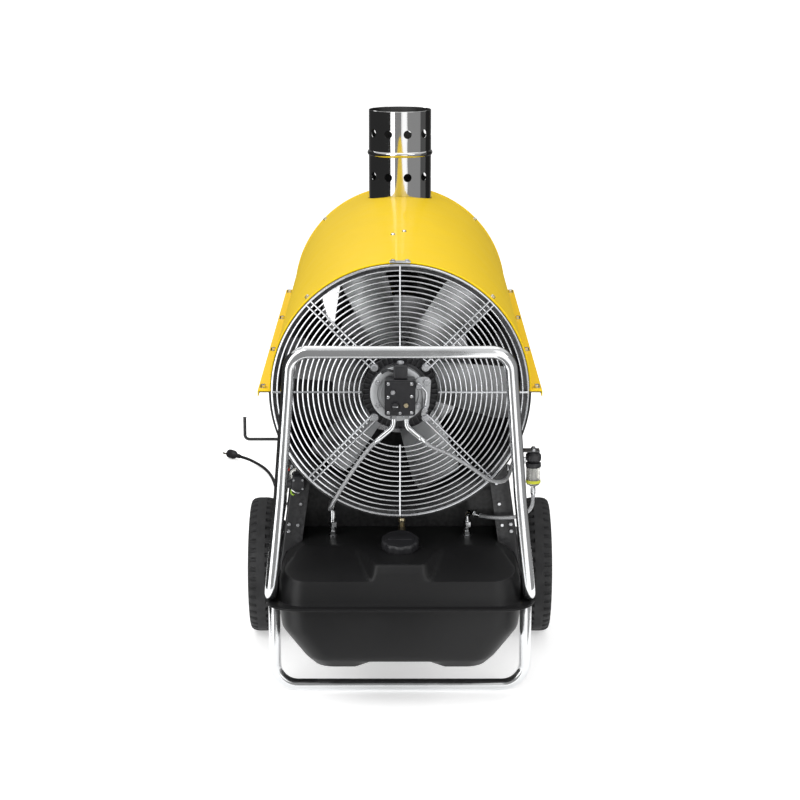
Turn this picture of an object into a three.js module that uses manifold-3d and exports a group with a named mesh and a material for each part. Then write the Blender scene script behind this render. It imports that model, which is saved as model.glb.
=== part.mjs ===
// An oil-fired indirect space heater on wheels: a round casing with a fan and burner motor at
// its air intake, a flue, a fuel tank that forms the chassis, a handle, a foot tube and two wheels.
// Millimetres, +Z up, +X to the right seen from the air intake, +Y towards the warm-air outlet.
// Heights are above the floor. Lengths along Y count from the rear edge of the casing, and the
// whole machine is moved at the end so that its origin is under the middle of its box.
import * as THREE from "three";
import { mergeVertices } from "three/addons/utils/BufferGeometryUtils.js";
import Module from "manifold-3d";

const wasm = await Module();
wasm.setup();

// ---------------------------------------------------------------- driving dimensions
const sheet = 2; // casing, tank and panel sheet
const seat = 0.3; // room between two pieces that sit on each other
const weld = 0.6; // how deep a welded or screwed piece reaches into what carries it

const tankTop = 325;
const saddleRise = 71; // tank top to the underside of the casing
const casingRadius = 260;
const axisHeight = tankTop + saddleRise + casingRadius; // casing, fan and motor share this axis
const casingLength = 1150;
const ledgeReach = 24; // beyond the casing's own half width
const ledgeHalfWidth = casingRadius + ledgeReach; // the side ledges where cover and lower casing are bolted
const ledgeLip = 10;
const ledgeBoltInset = 10;
const ledgeBoltEnd = 40; // last bolts to the front edge of the casing
const ledgeBoltPlaces = [27, 394, 760, casingLength - ledgeBoltEnd];
const boltRadius = 5.5;
const boltHeight = 5;
const rimScrewInset = 35; // screws at 45 degrees, from either end of the casing

const flueRadius = 75;
const flueWall = 1.5;
const flueReach = 202; // above the casing's crest
const flueTop = axisHeight + casingRadius + flueReach;
const flueSetback = 113; // flue axis to the front edge of the casing
const flueHoleClearance = 2;
const flueBeadHeight = flueTop - 103;
const flueBeadWidth = 12;
const flueBeadReach = 3.5;
const flueVentRadius = 10;
const flueVentCount = 10;
const flueVentTurn = 0.89; // of the step between two holes
const flueVentHeights = [flueTop - 157, flueTop - 54];

const chamberRadius = 150;
const chamberRear = 262;
const chamberFrontGap = 14; // chamber end to the front edge of the casing
const chamberDome = 34;
const burnerTubeRadius = 56;
const burnerTubeLength = 48;
const stubLap = 45; // how far the flue slides over the stub on the chamber
const supportInset = 90;
const supportThickness = 3;
const supportHalfAngle = 22; // degrees

const outletRadius = 200;
const outletLength = 60;
const outletBeadReach = 4;

const ductInset = 14; // inlet ring's bore to the casing's outside
const ductRadius = casingRadius - ductInset; // inlet ring round the fan
const ductDepth = 110;
const fanTipClearance = 6;
const fanTipRadius = ductRadius - fanTipClearance;
const fanPlace = 150; // middle of the blades
const fanHubRadius = 38;
const fanHubLength = 52;
const bladeCount = 6;
const bladeRootChord = 84;
const bladeTipChord = 118;
const bladeRootPitch = 44; // degrees
const bladeTipPitch = 26;
const bladeThickness = 3;
const bladePhase = -0.17; // turn of the first blade from +X, as it stands at rest

const guardRadius = casingRadius - 5.1; // centre line of the outermost wire
const guardPitch = 10.2;
const guardFullRings = 15;
const guardInnerArcs = 3; // shorter rings, open below for the fuel hoses
const guardWire = 3.2;
const guardSpokeWire = 4;
const guardRimWire = 5;
const armSpacing = 11.5; // between the two wires of a motor arm
const armReach = 66; // inner end of a motor arm, from the axis
const guardSegments = 20;
const guardCarriers = [0, 14]; // the rings that the motor arms are welded to
const carrierWire = 4;

const motorRadius = 75;
const motorLength = 104;
const motorFins = 16;
const motorFinDepth = 9;
const endCoverDepth = 14;
const shaftRadius = 8;
const shaftClearance = 0.4;

const pumpFlangeRadius = 55.6;
const pumpFlangeDepth = 16;
const pumpFlangeShift = -4;
const pumpWidth = 61;
const pumpHeight = 72;
const pumpDepth = 38;
const coilWidth = 28;
const coilHeight = 28;
const coilDepth = 28;
const hosePortSpread = 12.5; // of the two elbows under the pump, from the axis
const pipeRadius = 5;
const hoseRadius = 4;

const tubeRadius = 12.5; // handle and foot tube
const tankHalfWidth = 245;
const frameHalfWidth = tankHalfWidth + 15; // tube centre lines on the tank flange
const handleTopHalfWidth = frameHalfWidth - 52;
const handleTopHeight = axisHeight + 112;
const handleTopSetback = 157; // behind the casing's rear edge
const handleFootPlace = -66;
const handleRunEnd = 66;
const handleBend = 38;
const footPlace = 71;
const footBend = 48;
const footRunEnd = 505;

const tankRear = -85;
const tankFront = 450;
const tankCorner = 55;
const tankFlangeReach = 26; // sideways
const tankFlangeOverhang = 20; // rear and front
const flangeHeight = tankTop - 93; // where the two tank halves meet
const tankBottom = flangeHeight - 132;
const tankShoulder = tankTop - 25;
const lobeShoulder = tankTop - 44; // the two hollows beside the filler start here
const lobeInner = 48; // half width of the ridge between them, at its rear end
const lobeEnd = 41;
const fillerPlace = 18;
const fillerTilt = 13.5; // degrees
const capRadius = 39;
const capHeight = 19;
const neckRadius = 27;
const neckHeight = 12;
const fittingPlace = 112;
const fittingSpread = 139;
const ventPlace = 141;

const wheelRadius = 150;
const wheelWidth = 58;
const wheelGap = 17; // tyre to the middle of the frame tubes
const wheelInnerFace = frameHalfWidth + wheelGap;
const axlePlace = 477;
const axleRadius = 10;
const axleClearance = 0.4;
const rimRadius = 96;
const treadLugs = 12;
const treadGroove = 5;
const windowCount = 5; // openings in the wheel disc

const saddleRear = 75;
const saddleFront = 560;
const saddleFootHalfWidth = tankHalfWidth + 9;
const saddleTopHalfWidth = casingRadius - 43;
const saddleTopHeight = axisHeight - 156;
const saddleFlange = 40;
const saddleSheet = 2.5;
const bulkheadPlace = 176;
// bolts on the saddle's rear flange: inset from the face, height
const saddleBolts = [
  [27, tankTop + 33],
  [27, tankTop + 78],
  [27, tankTop + 122],
  [9, tankTop + 27],
];

const buttonTravel = 3;

const floor = 0;
const cordRadius = 4.25;

// ---------------------------------------------------------------- finishes
const finish = (color, roughness, metalness) =>
  new THREE.MeshStandardMaterial({ color, roughness, metalness });
const yellowPaint = finish(0xf0cb2d, 0.3, 0);
const blackPaint = finish(0x18191b, 0.45, 0);
const tankPaint = finish(0x1c1d1f, 0.4, 0);
const blackPlastic = finish(0x202124, 0.5, 0);
const stainless = finish(0xc9ccd0, 0.15, 1);
const chrome = finish(0xd8dadd, 0.12, 1);
const zincWire = finish(0xcfd2d6, 0.25, 1);
const castAluminium = finish(0xb4b7ba, 0.5, 0.8);
const fanMetal = finish(0xbfc2c6, 0.3, 0.9);
const rubber = finish(0x1e1f20, 0.85, 0);
const brass = finish(0xc2a15a, 0.3, 1);
const clearPlastic = finish(0xdfe3dd, 0.1, 0);
const redPlastic = finish(0xb3261e, 0.35, 0);

// ---------------------------------------------------------------- shape helpers
const radians = THREE.MathUtils.degToRad;

// A closed mesh as a solid, with its faces turned outwards whichever way they were wound.
function toSolid(shape) {
  if (!(shape instanceof THREE.BufferGeometry)) return shape;
  const bare = shape.clone();
  bare.deleteAttribute("normal");
  bare.deleteAttribute("uv");
  const merged = mergeVertices(bare, 1e-3);
  const build = (triVerts) =>
    new wasm.Manifold(
      new wasm.Mesh({ numProp: 3, vertProperties: merged.attributes.position.array, triVerts }),
    );
  const triVerts = new Uint32Array(merged.index.array);
  const solid = build(triVerts);
  return solid.volume() > 0 ? solid : build(triVerts.reverse());
}

function toGeometry(solid) {
  const { numProp, vertProperties, triVerts } = solid.getMesh();
  const places = new Float32Array((vertProperties.length / numProp) * 3);
  for (let i = 0; i < places.length / 3; i++)
    places.set(vertProperties.subarray(i * numProp, i * numProp + 3), i * 3);
  return new THREE.BufferGeometry()
    .setAttribute("position", new THREE.BufferAttribute(places, 3))
    .setIndex(new THREE.BufferAttribute(triVerts, 1));
}

const join = (...shapes) => shapes.map(toSolid).reduce((whole, next) => whole.add(next));
const cut = (shape, ...tools) =>
  tools.map(toSolid).reduce((whole, tool) => whole.subtract(tool), toSolid(shape));

// A round bar along x, y or z between two places on that axis.
function rod(axis, radius, from, to, sides = 16, farRadius = radius) {
  const bar = new THREE.CylinderGeometry(farRadius, radius, to - from, sides);
  bar.translate(0, (from + to) / 2, 0);
  if (axis === "x") bar.rotateZ(-Math.PI / 2);
  if (axis === "z") bar.rotateX(Math.PI / 2);
  return bar;
}

const block = (x0, x1, y0, y1, z0, z1) =>
  new THREE.BoxGeometry(x1 - x0, y1 - y0, z1 - z0).translate(
    (x0 + x1) / 2,
    (y0 + y1) / 2,
    (z0 + z1) / 2,
  );

// A profile of [radius, place] corners turned about an axis.
function turned(axis, profile, sides) {
  const body = new THREE.LatheGeometry(
    profile.map(([radius, place]) => new THREE.Vector2(radius, place)),
    sides,
  );
  if (axis === "x") body.rotateZ(-Math.PI / 2);
  if (axis === "z") body.rotateX(Math.PI / 2);
  return body;
}
const closed = (profile) => [...profile, profile[0]];

// An outline drawn in X and Z, made into a plate between two places along Y.
function plateAcross(outline, from, to, curveSegments = 24) {
  return new THREE.ExtrudeGeometry(outline, {
    depth: to - from,
    bevelEnabled: false,
    curveSegments,
  })
    .rotateX(Math.PI / 2)
    .translate(0, to, 0);
}

function outlineOf(points) {
  return new THREE.Shape(points.map(([a, b]) => new THREE.Vector2(a, b)));
}

// Rings of points joined in order; the ends are capped unless the last ring meets the first.
function loft(rings, meetsItself = false) {
  const count = rings[0].length;
  const places = rings.flat().flatMap((point) => point.toArray());
  const faces = [];
  const spans = meetsItself ? rings.length : rings.length - 1;
  for (let ring = 0; ring < spans; ring++)
    for (let k = 0; k < count; k++) {
      const next = (k + 1) % count;
      const a = ring * count + k;
      const b = ring * count + next;
      const c = ((ring + 1) % rings.length) * count + k;
      const d = ((ring + 1) % rings.length) * count + next;
      faces.push(a, b, d, a, d, c);
    }
  const last = (rings.length - 1) * count;
  for (let k = 1; k < count - 1 && !meetsItself; k++)
    faces.push(0, k + 1, k, last, last + k, last + k + 1);
  return new THREE.BufferGeometry()
    .setAttribute("position", new THREE.Float32BufferAttribute(places, 3))
    .setIndex(faces);
}

// Straight runs joined by round bends. A step along it goes from one station to the next, so
// that only the bends are divided.
class BentPath extends THREE.Curve {
  constructor(corners, bendRadius, stepsPerBend) {
    super();
    this.stations = [];
    corners.forEach((corner, i) => {
      const before = corners[i - 1];
      const after = corners[i + 1];
      if (!before || !after) {
        const tangent = before ? corner.clone().sub(before) : after.clone().sub(corner);
        this.stations.push({ point: corner, tangent: tangent.normalize() });
        return;
      }
      const arriving = corner.clone().sub(before).normalize();
      const leaving = after.clone().sub(corner).normalize();
      const turn = arriving.angleTo(leaving);
      const axis = arriving.clone().cross(leaving).normalize();
      const start = corner.clone().addScaledVector(arriving, -bendRadius * Math.tan(turn / 2));
      const centre = start.clone().addScaledVector(axis.clone().cross(arriving), bendRadius);
      for (let step = 0; step <= stepsPerBend; step++) {
        const angle = (turn * step) / stepsPerBend;
        const spoke = start.clone().sub(centre).applyAxisAngle(axis, angle);
        this.stations.push({
          point: centre.clone().add(spoke),
          tangent: arriving.clone().applyAxisAngle(axis, angle),
        });
      }
    });
  }
  getPoint(t, target = new THREE.Vector3()) {
    const place = t * (this.stations.length - 1);
    const i = Math.min(Math.floor(place), this.stations.length - 2);
    return target.lerpVectors(this.stations[i].point, this.stations[i + 1].point, place - i);
  }
  getTangent(t, target = new THREE.Vector3()) {
    return target.copy(this.stations[Math.round(t * (this.stations.length - 1))].tangent);
  }
  getUtoTmapping(u) {
    return u;
  }
}

// turnedBy rotates the section, so that a square wire can lie flat.
function section(radius, sides, turnedBy = 0) {
  return outlineOf(
    Array.from({ length: sides }, (_, k) => {
      const angle = turnedBy + (2 * Math.PI * k) / sides;
      return [radius * Math.cos(angle), radius * Math.sin(angle)];
    }),
  );
}

function bentTube(points, radius, bendRadius, sides = 10, stepsPerBend = 5, turnedBy = 0) {
  const corners = points.map((point) => new THREE.Vector3(...point));
  const extrudePath = new BentPath(corners, bendRadius, stepsPerBend);
  return new THREE.ExtrudeGeometry(section(radius, sides, turnedBy), {
    steps: extrudePath.stations.length - 1,
    bevelEnabled: false,
    extrudePath,
  });
}

function softTube(points, radius, steps, sides = 8) {
  const extrudePath = new THREE.CatmullRomCurve3(
    points.map((point) => new THREE.Vector3(...point)),
    false,
    "centripetal",
  );
  return new THREE.ExtrudeGeometry(section(radius, sides), {
    steps,
    bevelEnabled: false,
    extrudePath,
  });
}

const heater = new THREE.Group();
function add(name, shape, material, parent = heater) {
  const mesh = new THREE.Mesh(toGeometry(toSolid(shape)), material);
  mesh.name = name;
  parent.add(mesh);
  return mesh;
}

const sides = [
  { name: "left", sign: -1 },
  { name: "right", sign: 1 },
];

// ---------------------------------------------------------------- casing
const flangeHalfWidth = ledgeHalfWidth - sheet - seat; // of the lower casing, inside the lip
const fluePlace = casingLength - flueSetback;
const boltPlaces = ledgeBoltPlaces.flatMap((y) => sides.map(({ sign }) => [sign, y]));
const boltLine = ledgeHalfWidth - ledgeBoltInset;

// Hexagon heads standing on the ledge.
const ledgeBolts = boltPlaces.map(([sign, y]) =>
  rod(
    "z",
    boltRadius,
    axisHeight + sheet - weld,
    axisHeight + sheet + boltHeight,
    6,
  ).translate(sign * boltLine, y, 0),
);

// Radial screws at 45 degrees near both ends of the casing.
function rimScrews(upwards) {
  return [rimScrewInset, casingLength - rimScrewInset].flatMap((y) =>
    sides.map(({ sign }) =>
      rod("z", boltRadius - 1, casingRadius - sheet / 2, casingRadius + boltHeight, 6)
        .rotateY(sign * radians(upwards ? 45 : 135))
        .translate(0, y, axisHeight),
    ),
  );
}

function upperCover() {
  const inner = casingRadius - sheet;
  const lift = Math.asin(sheet / casingRadius);
  const outline = new THREE.Shape()
    .moveTo(ledgeHalfWidth, -ledgeLip)
    .lineTo(ledgeHalfWidth, sheet)
    .absarc(0, 0, casingRadius, lift, Math.PI - lift, false)
    .lineTo(-ledgeHalfWidth, sheet)
    .lineTo(-ledgeHalfWidth, -ledgeLip)
    .lineTo(sheet - ledgeHalfWidth, -ledgeLip)
    .lineTo(sheet - ledgeHalfWidth, 0)
    .absarc(0, 0, inner, Math.PI, 0, true)
    .lineTo(ledgeHalfWidth - sheet, 0)
    .lineTo(ledgeHalfWidth - sheet, -ledgeLip);
  const shell = plateAcross(outline, 0, casingLength, 18).translate(0, 0, axisHeight);
  const flueHole = rod("z", flueRadius + flueHoleClearance, axisHeight, flueTop, 20);
  return join(
    cut(shell, flueHole.translate(0, fluePlace, 0)),
    ...ledgeBolts,
    ...rimScrews(true),
  );
}

function lowerCasing() {
  const inner = casingRadius - sheet;
  const outerDrop = Math.asin((seat + sheet) / casingRadius);
  const innerDrop = Math.asin(seat / inner);
  const outline = new THREE.Shape()
    .moveTo(-flangeHalfWidth, -seat)
    .lineTo(-flangeHalfWidth, -seat - sheet)
    .absarc(0, 0, casingRadius, Math.PI + outerDrop, 2 * Math.PI - outerDrop, false)
    .lineTo(flangeHalfWidth, -seat - sheet)
    .lineTo(flangeHalfWidth, -seat)
    .absarc(0, 0, inner, -innerDrop, innerDrop - Math.PI, true);
  const shell = plateAcross(outline, 0, casingLength, 18).translate(0, 0, axisHeight);
  return join(shell, ...rimScrews(false));
}

// A round piece modelled with flats needs a little more room inside or outside another one.
const facetRoom = (radius, sides) => radius * (1 - Math.cos(Math.PI / sides));
const fitInside = casingRadius - sheet - seat - facetRoom(casingRadius, 36);
const casingForm = () =>
  rod("y", casingRadius + seat + facetRoom(casingRadius, 48), 0, casingLength, 48).translate(
    0,
    0,
    axisHeight,
  );

// A ring of C section round the fan; the guard sits on its rear flange.
function intakeRing() {
  const outer = ductRadius + sheet;
  return turned(
    "y",
    closed([
      [ductRadius, -sheet],
      [fitInside, -sheet],
      [fitInside, 0],
      [outer, 0],
      [outer, ductDepth - sheet],
      [fitInside, ductDepth - sheet],
      [fitInside, ductDepth],
      [ductRadius, ductDepth],
    ]),
    24,
  ).translate(0, 0, axisHeight);
}

const panelFace = casingLength - sheet;
function frontPanel() {
  return turned(
    "y",
    closed([
      [outletRadius - sheet, panelFace],
      [fitInside - sheet, panelFace],
      [fitInside - sheet, panelFace - 18],
      [fitInside, panelFace - 18],
      [fitInside, casingLength],
      [outletRadius - sheet, casingLength],
    ]),
    24,
  ).translate(0, 0, axisHeight);
}

// The spigot that takes an air hose: a flange on the front panel, then a tube with a bead.
function outletSpigot() {
  const start = casingLength + seat;
  const end = casingLength + outletLength;
  const beadMiddle = end - 16;
  return turned(
    "y",
    closed([
      [outletRadius - sheet, start],
      [outletRadius + 16, start],
      [outletRadius + 16, start + sheet],
      [outletRadius, start + sheet],
      [outletRadius, beadMiddle - 7],
      [outletRadius + outletBeadReach, beadMiddle],
      [outletRadius, beadMiddle + 7],
      [outletRadius, end],
      [outletRadius - sheet, end],
    ]),
    24,
  ).translate(0, 0, axisHeight);
}

add("upper_cover", upperCover(), yellowPaint);
add("lower_casing", lowerCasing(), blackPaint);
add("intake_ring", intakeRing(), blackPaint);
add("front_panel", frontPanel(), blackPaint);
add("outlet_spigot", outletSpigot(), stainless);

// ---------------------------------------------------------------- flue and combustion chamber
const chamberFront = casingLength - chamberFrontGap;
const flueSides = 20;
const stubRadius = flueRadius - flueWall - seat - facetRoom(flueRadius, flueSides);
const stubTop = axisHeight + chamberRadius + stubLap;
const flueBottom = axisHeight + chamberRadius + seat * 4;

function fluePipe() {
  const inner = flueRadius - flueWall;
  const low = flueBeadHeight - flueBeadWidth / 2;
  const high = flueBeadHeight + flueBeadWidth / 2;
  const pipe = turned(
    "z",
    closed([
      [flueRadius, flueBottom],
      [flueRadius, low],
      [flueRadius + flueBeadReach, flueBeadHeight],
      [flueRadius, high],
      [flueRadius, flueTop],
      [inner, flueTop],
      [inner, flueBottom],
    ]),
    flueSides,
  );
  const vents = flueVentHeights.flatMap((height) =>
    Array.from({ length: flueVentCount / 2 }, (_, k) =>
      rod("x", flueVentRadius, -flueRadius - 5, flueRadius + 5, 6)
        .rotateZ((2 * Math.PI * (k + flueVentTurn)) / flueVentCount)
        .translate(0, 0, height),
    ),
  );
  return cut(pipe, ...vents).translate(0, fluePlace, 0);
}

// A drum with a domed front end, a hole for the burner tube behind and a stub for the flue.
function combustionChamber() {
  const inner = chamberRadius - sheet;
  const drum = turned(
    "y",
    [
      [0, chamberFront],
      [chamberRadius * 0.6, chamberFront - chamberDome * 0.25],
      [chamberRadius, chamberFront - chamberDome],
      [chamberRadius, chamberRear],
      [burnerTubeRadius, chamberRear],
      [burnerTubeRadius, chamberRear + sheet],
      [inner, chamberRear + sheet],
      [inner, chamberFront - chamberDome],
      [inner * 0.6, chamberFront - chamberDome * 0.25 - sheet],
      [0, chamberFront - sheet],
    ],
    18,
  ).translate(0, 0, axisHeight);
  const foot = axisHeight + chamberRadius * 0.75;
  const bore = stubRadius - flueWall;
  const stub = rod("z", stubRadius, foot, stubTop, flueSides).translate(0, fluePlace, 0);
  const hole = rod("z", bore, foot - 60, stubTop + 1, flueSides).translate(0, fluePlace, 0);
  const inside = rod("y", inner, chamberRear + sheet, chamberFront - chamberDome, 18);
  return cut(join(drum, cut(stub, inside.translate(0, 0, axisHeight))), hole);
}

// The tube that carries the flame, with a flange on the chamber's rear wall.
function burnerTube() {
  const end = chamberRear - seat;
  const outer = burnerTubeRadius - 3;
  return turned(
    "y",
    closed([
      [outer - sheet, end - burnerTubeLength],
      [outer, end - burnerTubeLength],
      [outer, end - sheet],
      [burnerTubeRadius + 14, end - sheet],
      [burnerTubeRadius + 14, end],
      [outer - sheet, end],
    ]),
    14,
  ).translate(0, 0, axisHeight);
}

// A crescent plate between the chamber and the lower casing.
function chamberSupport(place) {
  const low = -Math.PI / 2 - radians(supportHalfAngle);
  const high = -Math.PI / 2 + radians(supportHalfAngle);
  const outline = new THREE.Shape()
    .absarc(0, 0, fitInside, low, high, false)
    .absarc(0, 0, chamberRadius + seat, high, low, true);
  return plateAcross(outline, place, place + supportThickness, 5).translate(0, 0, axisHeight);
}

add("flue_pipe", fluePipe(), stainless);
add("combustion_chamber", combustionChamber(), stainless);
add("burner_tube", burnerTube(), stainless);
add("chamber_support_rear", chamberSupport(chamberRear + supportInset), blackPaint);
add("chamber_support_front", chamberSupport(casingLength - 2 * supportInset), blackPaint);

// ---------------------------------------------------------------- fan guard
const rimBase = -sheet - seat; // the rim wire lies on the intake ring's flange
const wireCrest = rimBase - guardRimWire; // the edge of a ring wire that meets the spokes
const spokeFace = wireCrest + weld;
const spokeMiddle = spokeFace - guardSpokeWire / 2;
const armFace = wireCrest - seat; // the arms clear all rings but their two carriers
const armMiddle = armFace - guardSpokeWire / 2;
const ringRadius = (k) => guardRadius - k * guardPitch;

// One wire ring, or part of one, of three-sided section with its crest towards the spokes.
function wireRing(radius, wire, crest = wireCrest, from = 0, to = 360, base = crest + wire) {
  const full = to - from >= 360;
  const steps = Math.ceil((guardSegments * (to - from)) / 360);
  const corners = [
    [radius, crest],
    [radius + wire / 2, base],
    [radius - wire / 2, base],
  ];
  const ringAt = (k) => {
    const angle = radians(from + ((to - from) * k) / steps);
    return corners.map(
      ([r, y]) => new THREE.Vector3(r * Math.cos(angle), y, r * Math.sin(angle)),
    );
  };
  return loft(
    Array.from({ length: full ? steps : steps + 1 }, (_, k) => ringAt(k)),
    full,
  );
}

// Four single spokes, and four pairs of wires whose inner ends loop round the motor's bolts.
function fanGuard() {
  const carrierCrest = armFace - weld;
  const rings = Array.from({ length: guardFullRings }, (_, k) => {
    if (k === 0) return wireRing(ringRadius(k), guardRimWire, carrierCrest, 0, 360, rimBase);
    if (guardCarriers.includes(k)) return wireRing(ringRadius(k), carrierWire, carrierCrest);
    return wireRing(ringRadius(k), guardWire);
  });
  const arcs = Array.from({ length: guardInnerArcs }, (_, k) =>
    wireRing(ringRadius(guardFullRings + k), guardWire, wireCrest, -45, 225),
  );
  const innermost = ringRadius(guardFullRings + guardInnerArcs - 1);
  const innermostFull = ringRadius(guardFullRings - 1);
  const half = guardSpokeWire / 2;
  const spokes = [0, 90, 180, 270].map((angle) => {
    const inner = (angle === 270 ? innermostFull : innermost) - guardSpokeWire;
    return block(inner, guardRadius, spokeMiddle - half, spokeMiddle + half, -half, half).rotateY(
      -radians(angle),
    );
  });
  const arms = [45, 135, 225, 315].map((angle) =>
    bentTube(
      [
        [guardRadius, armMiddle, armSpacing / 2],
        [armReach, armMiddle, armSpacing / 2],
        [armReach, armMiddle, -armSpacing / 2],
        [guardRadius, armMiddle, -armSpacing / 2],
      ],
      half * Math.SQRT2,
      armSpacing / 2 - 0.2,
      4,
      2,
      Math.PI / 4,
    ).rotateY(-radians(angle)),
  );
  return join(...rings, ...arcs, ...spokes, ...arms).translate(0, 0, axisHeight);
}

add("fan_guard", fanGuard(), zincWire);

// ---------------------------------------------------------------- motor and fan
const endCoverRear = armFace + seat; // the motor arms lie on this face
const motorRear = endCoverRear + endCoverDepth + seat;
const motorFront = motorRear + motorLength;
const shaftBore = shaftRadius + shaftClearance;

function motorBody() {
  const root = motorRadius - motorFinDepth;
  const pitch = (2 * Math.PI) / motorFins;
  const finned = outlineOf(
    Array.from({ length: motorFins }, (_, k) => k * pitch).flatMap((angle) =>
      [
        [root, -0.28],
        [motorRadius - 1.5, -0.2],
        [motorRadius - 1.5, 0.2],
        [root, 0.28],
      ].map(([r, share]) => [
        r * Math.cos(angle + share * pitch),
        r * Math.sin(angle + share * pitch),
      ]),
    ),
  );
  const body = plateAcross(finned, motorRear, motorFront - 10);
  const shield = rod("y", root + 4, motorFront - 10 - weld, motorFront, 16, root - 8);
  const bore = rod("y", shaftBore, motorFront - 30, motorFront + 1, 12);
  return cut(join(body, shield), bore).translate(0, 0, axisHeight);
}

// The rear end shield with the four bolts that clamp the guard's arms.
function motorEndCover() {
  const cover = turned(
    "y",
    [
      [0, endCoverRear],
      [motorRadius - 3, endCoverRear],
      [motorRadius, endCoverRear + 3],
      [motorRadius, endCoverRear + endCoverDepth],
      [0, endCoverRear + endCoverDepth],
    ],
    20,
  );
  const headSeat = armMiddle - guardSpokeWire / 2 - seat;
  const boltAt = armReach + armSpacing / 2 + 0.5;
  const bolts = [45, 135, 225, 315].map((angle) => {
    const shank = rod("y", 3, headSeat - weld, endCoverRear + weld, 6);
    const head = rod("y", 7, headSeat - boltHeight, headSeat, 6);
    return join(shank.translate(boltAt, 0, 0), head.translate(boltAt, 0, 0)).rotate([0, -angle, 0]);
  });
  return join(cover, ...bolts).translate(0, 0, axisHeight);
}

const hubRear = fanPlace - fanHubLength / 2;
const hubFront = fanPlace + fanHubLength / 2;
function motorShaft() {
  return rod("y", shaftRadius, motorFront - 28, hubFront - 6, 12).translate(0, 0, axisHeight);
}

// One twisted blade: thin sections from inside the hub to the tip.
function fanBlade(middleAngle) {
  const stations = [fanHubRadius - 5, 92, 166, fanTipRadius];
  const rings = stations.map((radius, i) => {
    const share = i / (stations.length - 1);
    const chord = THREE.MathUtils.lerp(bladeRootChord, bladeTipChord, share);
    const pitch = radians(THREE.MathUtils.lerp(bladeRootPitch, bladeTipPitch, share));
    const width = i === 0 ? chord * 0.55 : chord;
    const pointAt = (along, offset) => {
      const camber = 0.1 * width * (1 - 4 * along * along);
      const across = along * width * Math.cos(pitch) - (camber + offset) * Math.sin(pitch);
      const deep = along * width * Math.sin(pitch) + (camber + offset) * Math.cos(pitch);
      const angle = middleAngle + across / Math.max(radius, 60);
      return new THREE.Vector3(radius * Math.cos(angle), deep, radius * Math.sin(angle));
    };
    const half = bladeThickness / 2;
    return [
      pointAt(-0.5, -half),
      pointAt(0, -half),
      pointAt(0.5, -half),
      pointAt(0.5, half),
      pointAt(0, half),
      pointAt(-0.5, half),
    ];
  });
  return loft(rings);
}

function fanRotor() {
  const hub = turned(
    "y",
    closed([
      [shaftBore, hubRear],
      [fanHubRadius, hubRear],
      [fanHubRadius, hubFront - 8],
      [fanHubRadius - 10, hubFront],
      [shaftBore, hubFront],
    ]),
    14,
  );
  const bladeRoom = rod("y", fanHubRadius - 3, fanPlace - 100, fanPlace + 100, 14);
  const blades = Array.from({ length: bladeCount }, (_, k) =>
    cut(fanBlade((2 * Math.PI * k) / bladeCount + bladePhase).translate(0, fanPlace, 0), bladeRoom),
  );
  return join(hub, ...blades).translate(0, 0, axisHeight);
}

add("motor_body", motorBody(), blackPaint);
add("motor_end_cover", motorEndCover(), blackPaint);
add("motor_shaft", motorShaft(), stainless);
add("fan_rotor", fanRotor(), fanMetal);

// ---------------------------------------------------------------- fuel pump
const pumpFlangeFront = endCoverRear - seat;
const pumpFlangeRear = pumpFlangeFront - pumpFlangeDepth;
const pumpFront = pumpFlangeRear - seat;
const pumpRear = pumpFront - pumpDepth;
const pumpTop = axisHeight + pumpHeight / 2;
const pumpBottom = axisHeight - pumpHeight / 2;

function pumpFlange() {
  return turned(
    "y",
    [
      [0, pumpFlangeRear],
      [pumpFlangeRadius - 3, pumpFlangeRear],
      [pumpFlangeRadius, pumpFlangeRear + 3],
      [pumpFlangeRadius, pumpFlangeFront],
      [0, pumpFlangeFront],
    ],
    20,
  ).translate(pumpFlangeShift, 0, axisHeight);
}

// The gear pump's block, with cover screws at its corners and two port bosses below.
function fuelPump() {
  const half = pumpWidth / 2;
  const body = block(-half, half, pumpRear, pumpFront, pumpBottom, pumpTop);
  const screws = [-1, 1].flatMap((across) =>
    [-1, 1].map((up) =>
      rod("y", 3, pumpRear - 2.5, pumpRear + weld, 6).translate(
        across * (half - 7),
        0,
        axisHeight + up * (pumpHeight / 2 - 7),
      ),
    ),
  );
  const regulator = rod("y", 9, pumpRear - 7, pumpRear + weld, 12);
  return join(body, regulator.translate(-9, 0, axisHeight - 16), ...screws);
}

function pumpCoil() {
  const rear = pumpFront - coilDepth - 3;
  const base = pumpTop + seat;
  const half = coilWidth / 2;
  const body = block(-half, half, rear, rear + coilDepth, base, base + coilHeight);
  const nut = rod("z", 7, base + coilHeight - weld, base + coilHeight + 7, 6);
  return join(body, nut.translate(0, rear + coilDepth / 2, 0)).translate(1, 0, 0);
}

// The cast lever arm and bracket beside the pump.
function regulatorArm() {
  const start = pumpWidth / 2 + seat;
  const outline = outlineOf([
    [start, 30],
    [start + 18, 36],
    [start + 31, 28],
    [start + 29, 0],
    [start + 27, -22],
    [start + 19, -42],
    [start + 11, -42],
    [start + 15, -14],
    [start + 12, 12],
    [start, 14],
  ]);
  const arm = plateAcross(outline, pumpFlangeRear - seat - 9, pumpFlangeRear - seat);
  return toSolid(arm).translate(0, 0, axisHeight);
}

const elbowPlace = (pumpFront + pumpRear) / 2;
const elbowDrop = 26;
function pumpElbow(sign) {
  return bentTube(
    [
      [sign * hosePortSpread, elbowPlace, pumpBottom - seat],
      [sign * hosePortSpread, elbowPlace, pumpBottom - elbowDrop],
      [sign * (hosePortSpread + 26), elbowPlace, pumpBottom - elbowDrop - 22],
    ],
    pipeRadius,
    14,
    8,
    4,
  );
}

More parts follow.
